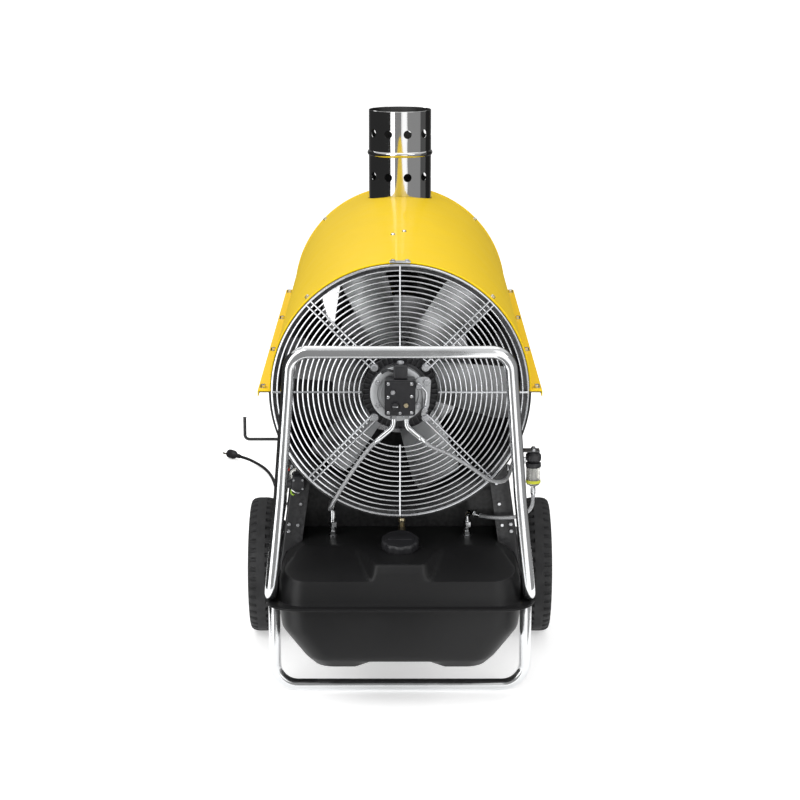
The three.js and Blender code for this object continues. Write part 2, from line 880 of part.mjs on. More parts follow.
add("pump_flange", pumpFlange(), castAluminium);
add("fuel_pump", fuelPump(), blackPlastic);
add("pump_coil", pumpCoil(), blackPlastic);
add("regulator_arm", regulatorArm(), castAluminium);
add("pump_elbow_left", pumpElbow(-1), chrome);
add("pump_elbow_right", pumpElbow(1), chrome);

// ---------------------------------------------------------------- fuel tank
const flangeTop = flangeHeight + seat / 2 + sheet;
const flangeBottom = flangeHeight - seat / 2 - sheet;

// A rectangle with round corners as a ring of points at one height.
function roundedRing(halfWidth, rear, front, corner, height, cornerSteps = 3) {
  const centres = [
    [halfWidth - corner, front - corner, 0],
    [corner - halfWidth, front - corner, 90],
    [corner - halfWidth, rear + corner, 180],
    [halfWidth - corner, rear + corner, 270],
  ];
  return centres.flatMap(([x, y, start]) =>
    Array.from({ length: cornerSteps + 1 }, (_, k) => {
      const angle = radians(start + (90 * k) / cornerSteps);
      return new THREE.Vector3(x + corner * Math.cos(angle), y + corner * Math.sin(angle), height);
    }),
  );
}

// The halves' outside, or with an inset their inside.
function upperTankForm(inset) {
  const level = (halfWidth, rear, front, corner, height) =>
    roundedRing(halfWidth - inset, rear + inset, front - inset, corner - inset, height);
  const low = flangeHeight + seat / 2;
  const form = loft([
    level(tankHalfWidth, tankRear, tankFront, tankCorner, inset ? low - 1 : low),
    level(tankHalfWidth - 2, tankRear + 2, tankFront - 2, tankCorner, lobeShoulder - 5),
    level(tankHalfWidth - 12, tankRear + 7, tankFront - 12, tankCorner - 6, tankShoulder - inset),
    level(tankHalfWidth - 50, tankRear + 100, tankFront - 55, tankCorner - 18, tankTop - inset),
  ]);
  const hollows = sides.map(({ sign }) => {
    const drop = -inset * 1.2;
    const profile = (lowX, highX) => [
      new THREE.Vector3(sign * lowX, tankRear - 20, lobeShoulder - 4 + drop),
      new THREE.Vector3(sign * highX, lobeEnd, tankTop + 0.3 + drop),
      new THREE.Vector3(sign * highX, lobeEnd, tankTop + 20),
      new THREE.Vector3(sign * (lowX - 5), tankRear - 20, tankTop + 20),
    ];
    return loft([profile(lobeInner - inset, lobeInner + 45 - inset), profile(265, 265)]);
  });
  return cut(form, ...hollows);
}

function lowerTankForm(inset) {
  const level = (halfWidth, rear, front, corner, height) =>
    roundedRing(halfWidth - inset, rear + inset, front - inset, corner - inset, height);
  const high = flangeHeight - seat / 2;
  const form = loft([
    level(tankHalfWidth - 71, tankRear + 30, tankFront - 45, tankCorner - 14, tankBottom + inset),
    level(tankHalfWidth - 53, tankRear + 8, tankFront - 24, tankCorner - 8, tankBottom + 20 + inset),
    level(tankHalfWidth - 6, tankRear + 3, tankFront - 4, tankCorner, tankBottom + 77),
    level(tankHalfWidth, tankRear, tankFront, tankCorner, inset ? high + 1 : high),
  ]);
  const rise = tankBottom + 14 + inset;
  const channelProfile = (y) =>
    [
      [-76 - inset, tankBottom - 1],
      [76 + inset, tankBottom - 1],
      [54 + inset, rise],
      [-54 - inset, rise],
    ].map(([x, z]) => new THREE.Vector3(x, y, z));
  return cut(form, loft([channelProfile(tankRear - 5), channelProfile(tankFront + 5)]));
}

function tankFlange(low, high) {
  const reach = tankFlangeReach;
  const overhang = tankFlangeOverhang;
  const ring = (inset, height) =>
    roundedRing(
      tankHalfWidth + reach - inset,
      tankRear - overhang + inset * 0.77,
      tankFront + overhang - inset * 0.77,
      tankCorner + 12,
      height,
    );
  const slab = loft([ring(0, low), ring(0, high)]);
  const window = roundedRing(
    tankHalfWidth - sheet,
    tankRear + sheet,
    tankFront - sheet,
    tankCorner - sheet,
    low - 1,
  );
  return cut(slab, loft([window, window.map((point) => point.clone().setZ(high + 1))]));
}

const capSeatHeight = tankTop + 3;

function tankUpperHalf() {
  const shell = cut(upperTankForm(0), upperTankForm(sheet));
  const outside = rod("z", neckRadius, -30, neckHeight - 4, 12)
    .rotateX(radians(fillerTilt))
    .translate(0, fillerPlace, capSeatHeight);
  const bore = rod("z", neckRadius - 3, -40, neckHeight + 1, 12)
    .rotateX(radians(fillerTilt))
    .translate(0, fillerPlace, capSeatHeight);
  const neck = cut(outside, upperTankForm(sheet));
  return cut(join(shell, tankFlange(flangeHeight + seat / 2, flangeTop), neck), bore);
}

function tankLowerHalf() {
  const shell = cut(lowerTankForm(0), lowerTankForm(sheet));
  return join(shell, tankFlange(flangeBottom, flangeHeight - seat / 2));
}

// A screw cap with twelve flats for the fingers, hollow below where it covers the neck.
function fillerCap() {
  const skirt = turned(
    "z",
    closed([
      [0.01, capHeight],
      [capRadius - 5, capHeight],
      [capRadius, capHeight - 5],
      [capRadius, 3],
      [capRadius - 2, 0],
      [neckRadius + 1.5, 0],
      [neckRadius + 1.5, neckHeight],
      [0.01, neckHeight],
    ]),
    12,
  );
  return toSolid(skirt)
    .translate(0, 0, 1)
    .rotate([fillerTilt, 0, 0])
    .translate(0, fillerPlace, capSeatHeight);
}

// Adapter, union nut and hose ferrule standing on the tank.
function tankFitting(x, height) {
  const base = tankTop + seat;
  return join(
    rod("z", 9, base, base + 10, 6),
    rod("z", 6, base + 9, base + 20, 8),
    rod("z", 9.5, base + 18, base + 33, 6),
    rod("z", 6, base + 32, base + height, 8),
  ).translate(x, fittingPlace, 0);
}

// The return fitting turns over towards its hose with an elbow pipe.
const elbowTop = tankTop + 52;
const elbowEnd = [fittingSpread + 17, fittingPlace - 22, elbowTop];
function returnFitting() {
  const pipe = bentTube(
    [
      [fittingSpread, fittingPlace, tankTop + 30],
      [fittingSpread, fittingPlace, elbowTop],
      elbowEnd,
    ],
    pipeRadius,
    11,
    8,
    3,
  );
  return join(tankFitting(fittingSpread, 34), pipe);
}

function ventValve() {
  const base = tankTop + seat;
  return join(
    rod("z", 7, base, base + 12, 6),
    rod("z", 5, base + 11, base + 20, 8),
    rod("z", 7.5, base + 19, base + 30, 8),
  ).translate(4, ventPlace, 0);
}

add("tank_upper_half", tankUpperHalf(), tankPaint);
add("tank_lower_half", tankLowerHalf(), tankPaint);
add("filler_cap", fillerCap(), blackPlastic);
add("tank_outlet_fitting", tankFitting(-fittingSpread, 54), chrome);
add("tank_return_fitting", returnFitting(), chrome);
add("tank_vent", ventValve(), brass);

// ---------------------------------------------------------------- handle, foot tube and wheels
const handleRunHeight = flangeTop + seat + tubeRadius;
function handleTube() {
  const half = [
    [frameHalfWidth, handleRunEnd, handleRunHeight],
    [frameHalfWidth, handleFootPlace, handleRunHeight],
    [handleTopHalfWidth, -handleTopSetback, handleTopHeight],
  ];
  const mirrored = half.map(([x, y, z]) => [-x, y, z]).reverse();
  return bentTube([...half, ...mirrored], tubeRadius, handleBend, 8, 4);
}

const footRunHeight = flangeBottom - seat - tubeRadius;
function footTube() {
  const half = [
    [frameHalfWidth, footRunEnd, footRunHeight],
    [frameHalfWidth, footPlace, footRunHeight],
    [frameHalfWidth, footPlace, floor + tubeRadius],
  ];
  const mirrored = half.map(([x, y, z]) => [-x, y, z]).reverse();
  return bentTube([...half, ...mirrored], tubeRadius, footBend, 8, 4);
}

const axleBore = axleRadius + axleClearance;
function axleBracket(sign) {
  const width = 24;
  const top = footRunHeight - tubeRadius - seat;
  const outline = new THREE.Shape()
    .moveTo(axlePlace + width, top)
    .lineTo(axlePlace - width, top)
    .absarc(axlePlace, wheelRadius, width, Math.PI, 2 * Math.PI, false);
  outline.holes.push(
    new THREE.Path().absarc(axlePlace, wheelRadius, axleBore, 0, 2 * Math.PI, true),
  );
  const plate = new THREE.ExtrudeGeometry(outline, {
    depth: 6,
    bevelEnabled: false,
    curveSegments: 6,
  });
  plate.applyMatrix4(
    new THREE.Matrix4().makeBasis(
      new THREE.Vector3(0, 1, 0),
      new THREE.Vector3(0, 0, 1),
      new THREE.Vector3(1, 0, 0),
    ),
  );
  return plate.translate(sign * frameHalfWidth - 3, 0, 0);
}

const wheelOuterFace = wheelInnerFace + wheelWidth;
function axle() {
  const end = wheelOuterFace - 12;
  return rod("x", axleRadius, -end, end, 12).translate(0, axlePlace, wheelRadius);
}

// Tyre rings round the wheel: every other one is a groove that narrows the tread's shoulders.
function tyre() {
  const half = wheelWidth / 2;
  const profile = (groove) => [
    [rimRadius, -half + 6],
    [rimRadius + 14, -half],
    [wheelRadius - 5 - groove, -half + 3],
    [wheelRadius, -half + 19],
    [wheelRadius, half - 19],
    [wheelRadius - 5 - groove, half - 3],
    [rimRadius + 14, half],
    [rimRadius, half - 6],
  ];
  const steps = treadLugs * 2;
  return loft(
    Array.from({ length: steps }, (_, k) => {
      const angle = (2 * Math.PI * k) / steps - Math.PI / 2;
      return profile(k % 2 ? treadGroove : 0).map(
        ([radius, x]) =>
          new THREE.Vector3(x, radius * Math.cos(angle), radius * Math.sin(angle)),
      );
    }),
    true,
  );
}

function wheelRim() {
  const half = wheelWidth / 2;
  const seatRadius = rimRadius - seat;
  const flat = Math.cos(Math.PI / (treadLugs * 2)); // the tyre's bore has flats
  const rim = turned(
    "x",
    closed([
      [axleBore, -half + 1],
      [24, -half + 1],
      [26, -6],
      [seatRadius * flat - 12, -6],
      [seatRadius * flat, -half + 8],
      [seatRadius * flat, half - 8],
      [seatRadius * flat - 12, 6],
      [26, 6],
      [24, half - 10],
      [axleBore, half - 10],
    ]),
    16,
  );
  const windows = Array.from({ length: windowCount }, (_, k) =>
    rod("x", 20, -10, 10, 4)
      .rotateX(Math.PI / 4)
      .translate(0, 54, 0)
      .rotateX((2 * Math.PI * k) / windowCount),
  );
  return cut(rim, ...windows);
}

function hubCap() {
  const half = wheelWidth / 2;
  return turned(
    "x",
    [
      [0, half - 10 + seat],
      [24, half - 10 + seat],
      [24, half - 5],
      [18, half - 0.5],
      [0, half - 0.5],
    ],
    12,
  );
}

add("handle_tube", handleTube(), chrome);
add("foot_tube", footTube(), chrome);
add("axle", axle(), castAluminium);
for (const { name, sign } of sides) {
  add(`axle_bracket_${name}`, axleBracket(sign), blackPaint);
  const wheel = new THREE.Group();
  wheel.position.set(sign * (wheelInnerFace + wheelWidth / 2), axlePlace, wheelRadius);
  if (sign < 0) wheel.rotation.z = Math.PI;
  heater.add(wheel);
  add(`wheel_tyre_${name}`, tyre(), rubber, wheel);
  add(`wheel_rim_${name}`, wheelRim(), blackPlastic, wheel);
  add(`hub_cap_${name}`, hubCap(), blackPlastic, wheel);
}

// ---------------------------------------------------------------- saddle between tank and casing
const saddleFoot = flangeTop + seat;
const saddleLean = Math.atan2(
  saddleFootHalfWidth - saddleTopHalfWidth,
  saddleTopHeight - saddleFoot,
);

// The panel's outer face at a height, as a distance from the middle plane.
const saddleFaceAt = (height) =>
  saddleFootHalfWidth - (height - saddleFoot) * Math.tan(saddleLean);
// The faceted casing's outside, with room for a piece to sit on it.
const casingFaceAt = (x) => axisHeight - Math.sqrt((casingRadius + 1) ** 2 - x * x);

function saddlePanel(sign) {
  const strip = (width) =>
    outlineOf([
      [saddleFootHalfWidth, saddleFoot],
      [saddleTopHalfWidth, saddleTopHeight],
      [saddleTopHalfWidth - width, casingFaceAt(saddleTopHalfWidth - width)],
      [saddleFootHalfWidth - width, saddleFoot],
    ]);
  const bolts = saddleBolts.map(([inset, height]) =>
    rod("y", boltRadius, saddleRear - boltHeight, saddleRear + weld, 6).translate(
      saddleFaceAt(height) - inset,
      0,
      height,
    ),
  );
  const panel = join(
    plateAcross(strip(saddleSheet), saddleRear, saddleFront),
    plateAcross(strip(saddleFlange), saddleRear, saddleRear + saddleSheet),
    plateAcross(strip(saddleFlange), saddleFront - saddleSheet, saddleFront),
    ...bolts,
  );
  const fitted = cut(panel, upperTankForm(-1));
  return sign > 0 ? fitted : fitted.mirror([1, 0, 0]);
}

// A wall between the side panels, cut to the casing above and standing on what is below.
function bulkhead(place, foot) {
  const inset = saddleSheet + 1;
  const low = saddleFaceAt(foot) - inset;
  const high = saddleFaceAt(saddleTopHeight) - inset - 3;
  const start = Math.acos(high / (casingRadius + 1));
  const outline = new THREE.Shape()
    .moveTo(-low, foot)
    .lineTo(low, foot)
    .lineTo(high, casingFaceAt(high))
    .absarc(0, axisHeight, casingRadius + 1, -start, start - Math.PI, true);
  return plateAcross(outline, place, place + saddleSheet, 12);
}

for (const { name, sign } of sides) add(`saddle_panel_${name}`, saddlePanel(sign), blackPaint);
add("saddle_bulkhead_rear", bulkhead(bulkheadPlace, tankTop + seat), blackPaint);
add("saddle_bulkhead_front", bulkhead(saddleFront - 30, saddleFoot), blackPaint);

// ---------------------------------------------------------------- controls on the left panel
// A frame on the panel's outer face: x points out of it, y to the rear and z up along it.
const controlHeight = tankTop + 67;
const controlPlace = 330;
const controlRow = 8; // height of the row of controls above the plate's middle
const controls = new THREE.Group();
controls.position.set(-saddleFaceAt(controlHeight), controlPlace, controlHeight);
controls.rotation.set(0, saddleLean, Math.PI);
heater.add(controls);

const plateThickness = 3;
const controlFace = seat * 2 + plateThickness;
const onPlate = (shape, y, out = 0) =>
  toSolid(shape).translate(controlFace + out, y, controlRow);

const controlPlate = block(seat, seat + plateThickness, -85, 85, -48, 48);
const knob = join(rod("x", 19, 0, 5, 16), block(4, 16, -5, 5, -17, 17));
const bezel = cut(rod("x", 12.5, 0, 5, 12), rod("x", 8.6, -1, 6, 12));
const button = rod("x", 8, 0, 7, 12);
const lamp = join(rod("x", 9, 0, 3, 12), rod("x", 7, 2, 8, 12, 4));
const socket = join(rod("x", 13, 0, 11, 12), rod("x", 15, 10, 14, 12));

add("control_plate", controlPlate, blackPlastic, controls);
add("main_switch", onPlate(knob, 48), blackPlastic, controls);
add("reset_bezel", onPlate(bezel, -2), blackPlastic, controls);
add("reset_button", onPlate(button, -2, buttonTravel + 1), redPlastic, controls);
add("pilot_lamp", onPlate(lamp, -34), clearPlastic, controls);
add("thermostat_socket", onPlate(socket, -64), blackPlastic, controls);

// ---------------------------------------------------------------- cable entry, hook and cord
const junctionHeight = saddleTopHeight - 48;
const junctionLeft = -saddleTopHalfWidth - 4;
const junctionHalf = 14;
const junctionBox = block(
  junctionLeft,
  junctionLeft + 2 * junctionHalf,
  46,
  saddleRear - boltHeight - seat,
  junctionHeight - junctionHalf,
  junctionHeight + junctionHalf,
);
add("junction_box", junctionBox, blackPlastic);

// An elbow gland: a nut on the box, a knuckle, and a tapered sleeve that points down and forward.
const glandPlace = new THREE.Vector3(junctionLeft - 15, 60, junctionHeight - 4);
const glandSlope = radians(52); // below the horizontal
const sleeveLength = 26;
function cableGland() {
  const nut = rod("x", 8, junctionLeft - seat - 13, junctionLeft - seat, 8);
  const knuckle = new THREE.SphereGeometry(8.5, 8, 5).translate(...glandPlace.toArray());
  const sleeve = rod("y", 8, 0, sleeveLength, 8, cordRadius + 1.6)
    .rotateX(-glandSlope)
    .translate(...glandPlace.toArray());
  return join(nut.translate(0, glandPlace.y, glandPlace.z), knuckle, sleeve);
}
add("cable_gland", cableGland(), blackPlastic);

const cordStart = glandPlace
  .clone()
  .add(
    new THREE.Vector3(0, Math.cos(glandSlope), -Math.sin(glandSlope)).multiplyScalar(
      sleeveLength + seat,
    ),
  );
const plugRadius = 13;
const plugHeight = floor + plugRadius + seat;
const plugTurn = radians(133); // the way that the plug points, seen from above
const plugEnd = new THREE.Vector3(-470, 1982, plugHeight);
const cordEnd = new THREE.Vector3(-Math.cos(plugTurn), -Math.sin(plugTurn), 0)
  .multiplyScalar(2 * seat)
  .add(plugEnd);
const cordRest = floor + cordRadius + seat;
const cordOnFlange = flangeTop + cordRadius + seat * 3;
const cordRoute = [
  cordStart.toArray(),
  [-236.5, 88, 412],
  [-240, 106, 385],
  [-247, 124, 345],
  [-256, 146, 300],
  [-262, 176, 268],
  [-263, 212, cordOnFlange + 2],
  [-263, 260, cordOnFlange],
  [-263, 330, cordOnFlange],
  [-263, 400, cordOnFlange],
  [-263, 470, cordOnFlange],
  [-263, 520, 236],
  [-263, 556, 212],
  [-263, 578, 170],
  [-264, 590, 120],
  [-265, 602, 68],
  [-266, 624, 30],
  [-268, 660, 10.5],
  [-271, 710, cordRest],
  [-278, 820, cordRest],
  [-292, 980, cordRest],
  [-308, 1160, cordRest],
  [-323, 1360, cordRest],
  [-339, 1580, cordRest],
  [-361, 1760, cordRest],
  [-390, 1872, cordRest],
  [-417, 1922, cordRest + 3],
  [-443, 1953, plugHeight - 1],
  cordEnd.toArray(),
];

// A round moulded mains plug with two pins, lying on the floor.
function mainsPlug() {
  const body = turned(
    "x",
    [
      [0, 0],
      [cordRadius + 1.5, 0],
      [cordRadius + 3, 18],
      [plugRadius, 26],
      [plugRadius, 50],
      [0, 50],
    ],
    12,
  );
  const pins = [-9.5, 9.5].map((across) => rod("x", 2.4, 49, 69, 6).translate(0, across, 0));
  return join(body, ...pins);
}

// The bar that the cord is wound on, on a pad that follows the casing's left flank.
const hookHeight = axisHeight - 111;
const hookPlace = 52;
const hookReach = casingRadius + 54;
const hookRise = 46;
function cableHook() {
  const start = casingRadius - 25;
  const half = 9;
  const pad = block(
    -start - 4,
    -start + 12,
    hookPlace - half,
    hookPlace + half,
    hookHeight - half,
    hookHeight + half,
  );
  const bar = bentTube(
    [
      [-start, hookPlace, hookHeight],
      [-hookReach, hookPlace, hookHeight],
      [-hookReach, hookPlace, hookHeight + hookRise],
    ],
    3.2,
    9,
    6,
    3,
  );
  return cut(join(bar, pad), casingForm());
}
add("cable_hook", cableHook(), blackPaint);

// ---------------------------------------------------------------- fuel filter and hoses
const filterX = casingRadius + 11;
const filterPlace = 52;
const filterHeadBottom = axisHeight - 169;
const filterHeadHeight = 33;
const bowlRadius = 14.4;
const bowlHeight = 43;

function filterHead() {
  const width = 15.5;
  const head = block(
    filterX - width,
    filterX + width,
    filterPlace - width,
    filterPlace + width,
    filterHeadBottom,
    filterHeadBottom + filterHeadHeight,
  );
  const inlet = rod("x", 6, filterX - width - 9, filterX - width + weld, 6);
  return join(head, inlet.translate(0, filterPlace, filterHeadBottom + 14));
}

function filterBowl() {
  const top = filterHeadBottom - seat;
  return turned(
    "z",
    [
      [0, top - bowlHeight],
      [5, top - bowlHeight],
      [bowlRadius - 2, top - bowlHeight + 7],
      [bowlRadius, top - bowlHeight + 12],
      [bowlRadius, top],
      [0, top],
    ],
    16,
  ).translate(filterX, filterPlace, 0);
}

// An angle on the casing's right flank that the filter hangs from.
function filterBracket() {
  const base = filterHeadBottom + filterHeadHeight + seat;
  const half = 12;
  const plate = [filterPlace - half, filterPlace + half];
  const arm = block(casingRadius - 50, filterX + half, ...plate, base, base + 3);
  const pad = block(casingRadius - 50, casingRadius - 28, ...plate, base, base + 18);
  return cut(join(arm, pad), casingForm());
}

const suctionHose = [
  [-(hosePortSpread + 26.2), elbowPlace, pumpBottom - elbowDrop - 22.2],
  [-58, elbowPlace, 553],
  [-88, elbowPlace + 4, 512],
  [-116, -32, 466],
  [-136, -22, 428],
  [-141, 6, 410],
  [-142, 44, 407],
  [-140.5, 82, 409],
  [-139.5, 103, 403],
  [-139, 111, 391],
  [-139, fittingPlace, tankTop + seat * 2 + 54],
];
const returnHose = [
  [hosePortSpread + 26.2, elbowPlace, pumpBottom - elbowDrop - 22.2],
  [62, elbowPlace, 554],
  [100, elbowPlace + 4, 535],
  [142, -34, 508],
  [180, -26, 480],
  [205, -6, 472],
  [217, 16, 475],
  [225, 38, 488],
  [231, 50, 499],
  [237, filterPlace, filterHeadBottom + 14],
  [filterX - 15.5 - 9 - seat, filterPlace, filterHeadBottom + 14],
];
const filterHose = [
  [filterX, filterPlace, filterHeadBottom - 2 * seat - bowlHeight],
  [filterX, filterPlace, filterHeadBottom - 20 - bowlHeight],
  [268, 54, 402],
  [255, 57, 387],
  [234, 59, 379],
  [212, 60, 377],
  [190, 62, 377],
  [170, 73, elbowTop],
  [elbowEnd[0] + 0.4, elbowEnd[1] - 0.5, elbowTop],
];
add("fuel_filter_head", filterHead(), blackPlastic);
add("fuel_filter_bowl", filterBowl(), clearPlastic);
add("filter_bracket", filterBracket(), blackPaint);
add("suction_hose", softTube(suctionHose, hoseRadius, 20, 6), zincWire);
add("return_hose", softTube(returnHose, hoseRadius, 18, 6), zincWire);
add("filter_hose", softTube(filterHose, hoseRadius, 16, 6), zincWire);

// ---------------------------------------------------------------- the whole machine
// The origin lies on the floor under the middle of the machine; the cord isn't counted.
const reach = new THREE.Box3().setFromObject(heater);
heater.position.y = -(reach.min.y + reach.max.y) / 2;

add("power_cord", softTube(cordRoute, cordRadius, 54, 6), rubber);
const plug = add("mains_plug", mainsPlug(), blackPlastic);
plug.position.copy(plugEnd);
plug.rotation.z = plugTurn;

export default heater;
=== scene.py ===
import math
from contextlib import contextmanager

import bmesh
import bpy
from mathutils import Matrix, Quaternion, Vector


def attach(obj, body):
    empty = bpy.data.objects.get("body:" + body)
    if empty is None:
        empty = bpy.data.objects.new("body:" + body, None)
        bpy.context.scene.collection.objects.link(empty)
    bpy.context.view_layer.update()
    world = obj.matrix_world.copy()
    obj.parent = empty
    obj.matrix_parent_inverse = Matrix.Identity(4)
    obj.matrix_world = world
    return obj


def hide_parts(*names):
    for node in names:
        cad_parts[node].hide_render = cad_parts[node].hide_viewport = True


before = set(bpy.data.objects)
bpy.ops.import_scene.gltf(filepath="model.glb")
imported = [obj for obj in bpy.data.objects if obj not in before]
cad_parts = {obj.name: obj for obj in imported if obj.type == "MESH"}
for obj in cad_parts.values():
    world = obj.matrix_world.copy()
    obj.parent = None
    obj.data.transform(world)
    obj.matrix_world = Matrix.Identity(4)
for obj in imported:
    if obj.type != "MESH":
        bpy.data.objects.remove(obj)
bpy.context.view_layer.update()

MM = 0.001
REAR_EDGE = -520.4  # where the casing's rear edge lies along the model's Y
AXIS = 656.0  # height of the casing's axis
SCENE = bpy.context.scene
SHARP = 32  # the angle in degrees from which an edge is shaded sharp
NEAR = 1e-6  # a radius that counts as nothing


def metres(x, y, z):
    return Vector((x * MM, (y + REAR_EDGE) * MM, z * MM))


# ---------------------------------------------------------------- camera
CAMERA_PLACE = (0, -4276, 1620)
CAMERA_PITCH = 12.93  # degrees down from level


def make_camera():
    data = bpy.data.cameras.new("camera")
    data.lens = 99
    data.sensor_width = 36
    camera = bpy.data.objects.new("camera", data)
    camera.location = metres(*CAMERA_PLACE)
    camera.rotation_euler = (math.radians(90 - CAMERA_PITCH), 0, 0)
    SCENE.collection.objects.link(camera)
    SCENE.camera = camera


make_camera()


# ---------------------------------------------------------------- mesh builder
WELD = 2e-6  # metres within which points are one
STEEP = 0.9  # how upright a tube's start has to be to be set out from X
STRAIGHT = 1e-4  # a bend, in radians, that counts as none


def pointed(axis, along, a, b):
    """A point from its place along an axis and its two places across it."""
    if axis == "x":
        return (along, a, b)
    if axis == "y":
        return (a, along, b)
    return (a, b, along)


class Build:
    """The faces of one piece, in millimetres. Each part of it may have its own material."""

    def __init__(self):
        self.verts = []
        self.faces = []
        self.looks = []
        self.uvs = []

    def rings(self, rings, around=True, along=False, look=0, uvs=None):
        """Joins rings of points in order. around closes each ring, along joins last to first."""
        start = len(self.verts)
        count = len(rings[0])
        for ring in rings:
            self.verts.extend(Vector(point) for point in ring)
        spans = len(rings) if along else len(rings) - 1
        steps = count if around else count - 1
        for i in range(spans):
            for k in range(steps):
                j, n = (i + 1) % len(rings), (k + 1) % count
                quad = [i * count + k, i * count + n, j * count + n, j * count + k]
                self.faces.append([start + index for index in quad])
                self.looks.append(look)
                if uvs:
                    u0, u1 = k / count, (k + 1) / count
                    v0, v1 = uvs[i], uvs[i + 1]
                    self.uvs.append([(u0, v0), (u1, v0), (u1, v1), (u0, v1)])
                else:
                    self.uvs.append(None)
        if around and not along:
            for i in (0, len(rings) - 1):
                self.faces.append([start + i * count + k for k in range(count)])
                self.looks.append(look)
                self.uvs.append(None)

    def lathe(self, profile, axis, centre, sides, look=0, around=True):
        """Turns (radius, place) points about an axis through the centre, as a ring."""
        rings = []
        for k in range(sides):
            angle = 2 * math.pi * k / sides
            c, s = math.cos(angle), math.sin(angle)
            ring = [pointed(axis, place, radius * c, radius * s) for radius, place in profile]
            rings.append([Vector(p) + Vector(centre) for p in ring])
        self.rings(rings, around=around, along=True, look=look)

    def solid(self, profile, axis, centre, sides, look=0):
        """A lathed body that is full to its axis, where its profile is joined at both ends."""
        (first, low), (last, high) = profile[0], profile[-1]
        head = [(0, low)] if first > NEAR else []
        foot = [(0, high)] if last > NEAR else []
        self.lathe([*head, *profile, *foot], axis, centre, sides, look, around=False)

    def tube(self, points, radius, sides, loop=False, look=0):
        """A round bar along points. radius may be a list, one for each point."""
        points = [Vector(p) for p in points]
        radii = radius if isinstance(radius, list) else [radius] * len(points)
        last = len(points) - 1
        normal = None
        rings = []
        lengths = [0.0]
        for i, point in enumerate(points):
            before = points[i - 1] if (i or loop) else point
            after = points[(i + 1) % len(points)] if (i < last or loop) else point
            tangent = (after - before).normalized()
            if normal is None:
                guess = Vector((0, 0, 1)) if abs(tangent.z) < STEEP else Vector((1, 0, 0))
                normal = tangent.cross(guess).normalized()
            normal = (normal - tangent * normal.dot(tangent)).normalized()
            other = tangent.cross(normal)
            ring = []
            for k in range(sides):
                angle = 2 * math.pi * k / sides
                aside = normal * (radii[i] * math.cos(angle))
                ring.append(point + aside + other * (radii[i] * math.sin(angle)))
            rings.append(ring)
            if i:
                lengths.append(lengths[-1] + (point - points[i - 1]).length)
        around = 2 * math.pi * radii[0]
        uvs = None if loop else [length / around for length in lengths]
        self.rings(rings, along=loop, look=look, uvs=uvs)

    def prism(self, outline, axis, low, high, chamfer=0.0, look=0, place=(0, 0, 0)):
        """A plate of an outline in the plane across the axis, with its edges chamfered."""
        middle_a = sum(a for a, _ in outline) / len(outline)
        middle_b = sum(b for _, b in outline) / len(outline)
        reach = max(math.hypot(a - middle_a, b - middle_b) for a, b in outline)
        share = 1 - chamfer / reach
        smaller = [
            (middle_a + (a - middle_a) * share, middle_b + (b - middle_b) * share)
            for a, b in outline
        ]
        levels = [(outline, low), (outline, high)]
        if chamfer:
            middle = [(outline, low + chamfer), (outline, high - chamfer)]
            levels = [(smaller, low), *middle, (smaller, high)]
        rings = []
        for shape, level in levels:
            ring = [pointed(axis, level, a, b) for a, b in shape]
            rings.append([Vector(p) + Vector(place) for p in ring])
        self.rings(rings, look=look)

    def box(self, x, y, z, corner, look=0):
        """A block with rounded edges between pairs of places along X, Y and Z."""
        outline = rounded_rectangle(x[0], x[1], y[0], y[1], corner)
        self.prism(outline, "z", z[0], z[1], chamfer=corner * 0.7, look=look)

    def bolt(self, place, axis, across, height, outwards=1, look=0, washer=True):
        """A hexagon head with a washer, standing out from place along the axis."""
        nut = hexagon(across / 2 / math.cos(math.pi / 6))
        inner = 0.0
        if washer:
            thick = 1.2 * outwards
            disc = [(across * 0.72, 0), (across * 0.72, thick)]
            self.solid(disc, axis, place, 20, look)
            inner = thick
        low, high = sorted((inner, outwards * height))
        self.prism(nut, axis, low, high, chamfer=0.7, look=look, place=place)

    def moved(self, matrix, start=0):
        """Applies a matrix to every point from start on."""
        for i in range(start, len(self.verts)):
            self.verts[i] = matrix @ self.verts[i]

    @contextmanager
    def placed(self, matrix):
        """Applies a matrix to what is added inside the block."""
        start = len(self.verts)
        yield
        self.moved(matrix, start)

    def make(self, name, looks, slot=None, replaces=(), body="machine", sharp=SHARP):
        """The piece's object, welded and shaded. Without a slot it is only a cutter."""
        mesh = bpy.data.meshes.new(name)
        mesh.from_pydata([metres(*v) for v in self.verts], [], self.faces)
        layer = mesh.uv_layers.new(name="UVMap")
        for polygon, uv in zip(mesh.polygons, self.uvs):
            for loop, place in zip(polygon.loop_indices, uv or ()):
                layer.data[loop].uv = place
        for look in looks:
            mesh.materials.append(look)
        mesh.polygons.foreach_set("material_index", self.looks)
        cleaned = bmesh.new()
        cleaned.from_mesh(mesh)
        bmesh.ops.remove_doubles(cleaned, verts=cleaned.verts, dist=WELD)
        bmesh.ops.dissolve_degenerate(cleaned, edges=cleaned.edges, dist=WELD / 2)
        bmesh.ops.recalc_face_normals(cleaned, faces=cleaned.faces)
        cleaned.to_mesh(mesh)
        cleaned.free()
        shade_smooth(mesh, sharp)
        piece = bpy.data.objects.new(name, mesh)
        SCENE.collection.objects.link(piece)
        if slot:
            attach(piece, body)
            if replaces:
                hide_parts(*replaces)
        return piece


def shade_smooth(mesh, sharp):
    mesh.polygons.foreach_set("use_smooth", [True] * len(mesh.polygons))
    mesh.set_sharp_from_angle(angle=math.radians(sharp))


def hexagon(radius, turn=0.0):
    angles = [turn + k * math.pi / 3 for k in range(6)]
    return [(radius * math.cos(a), radius * math.sin(a)) for a in angles]


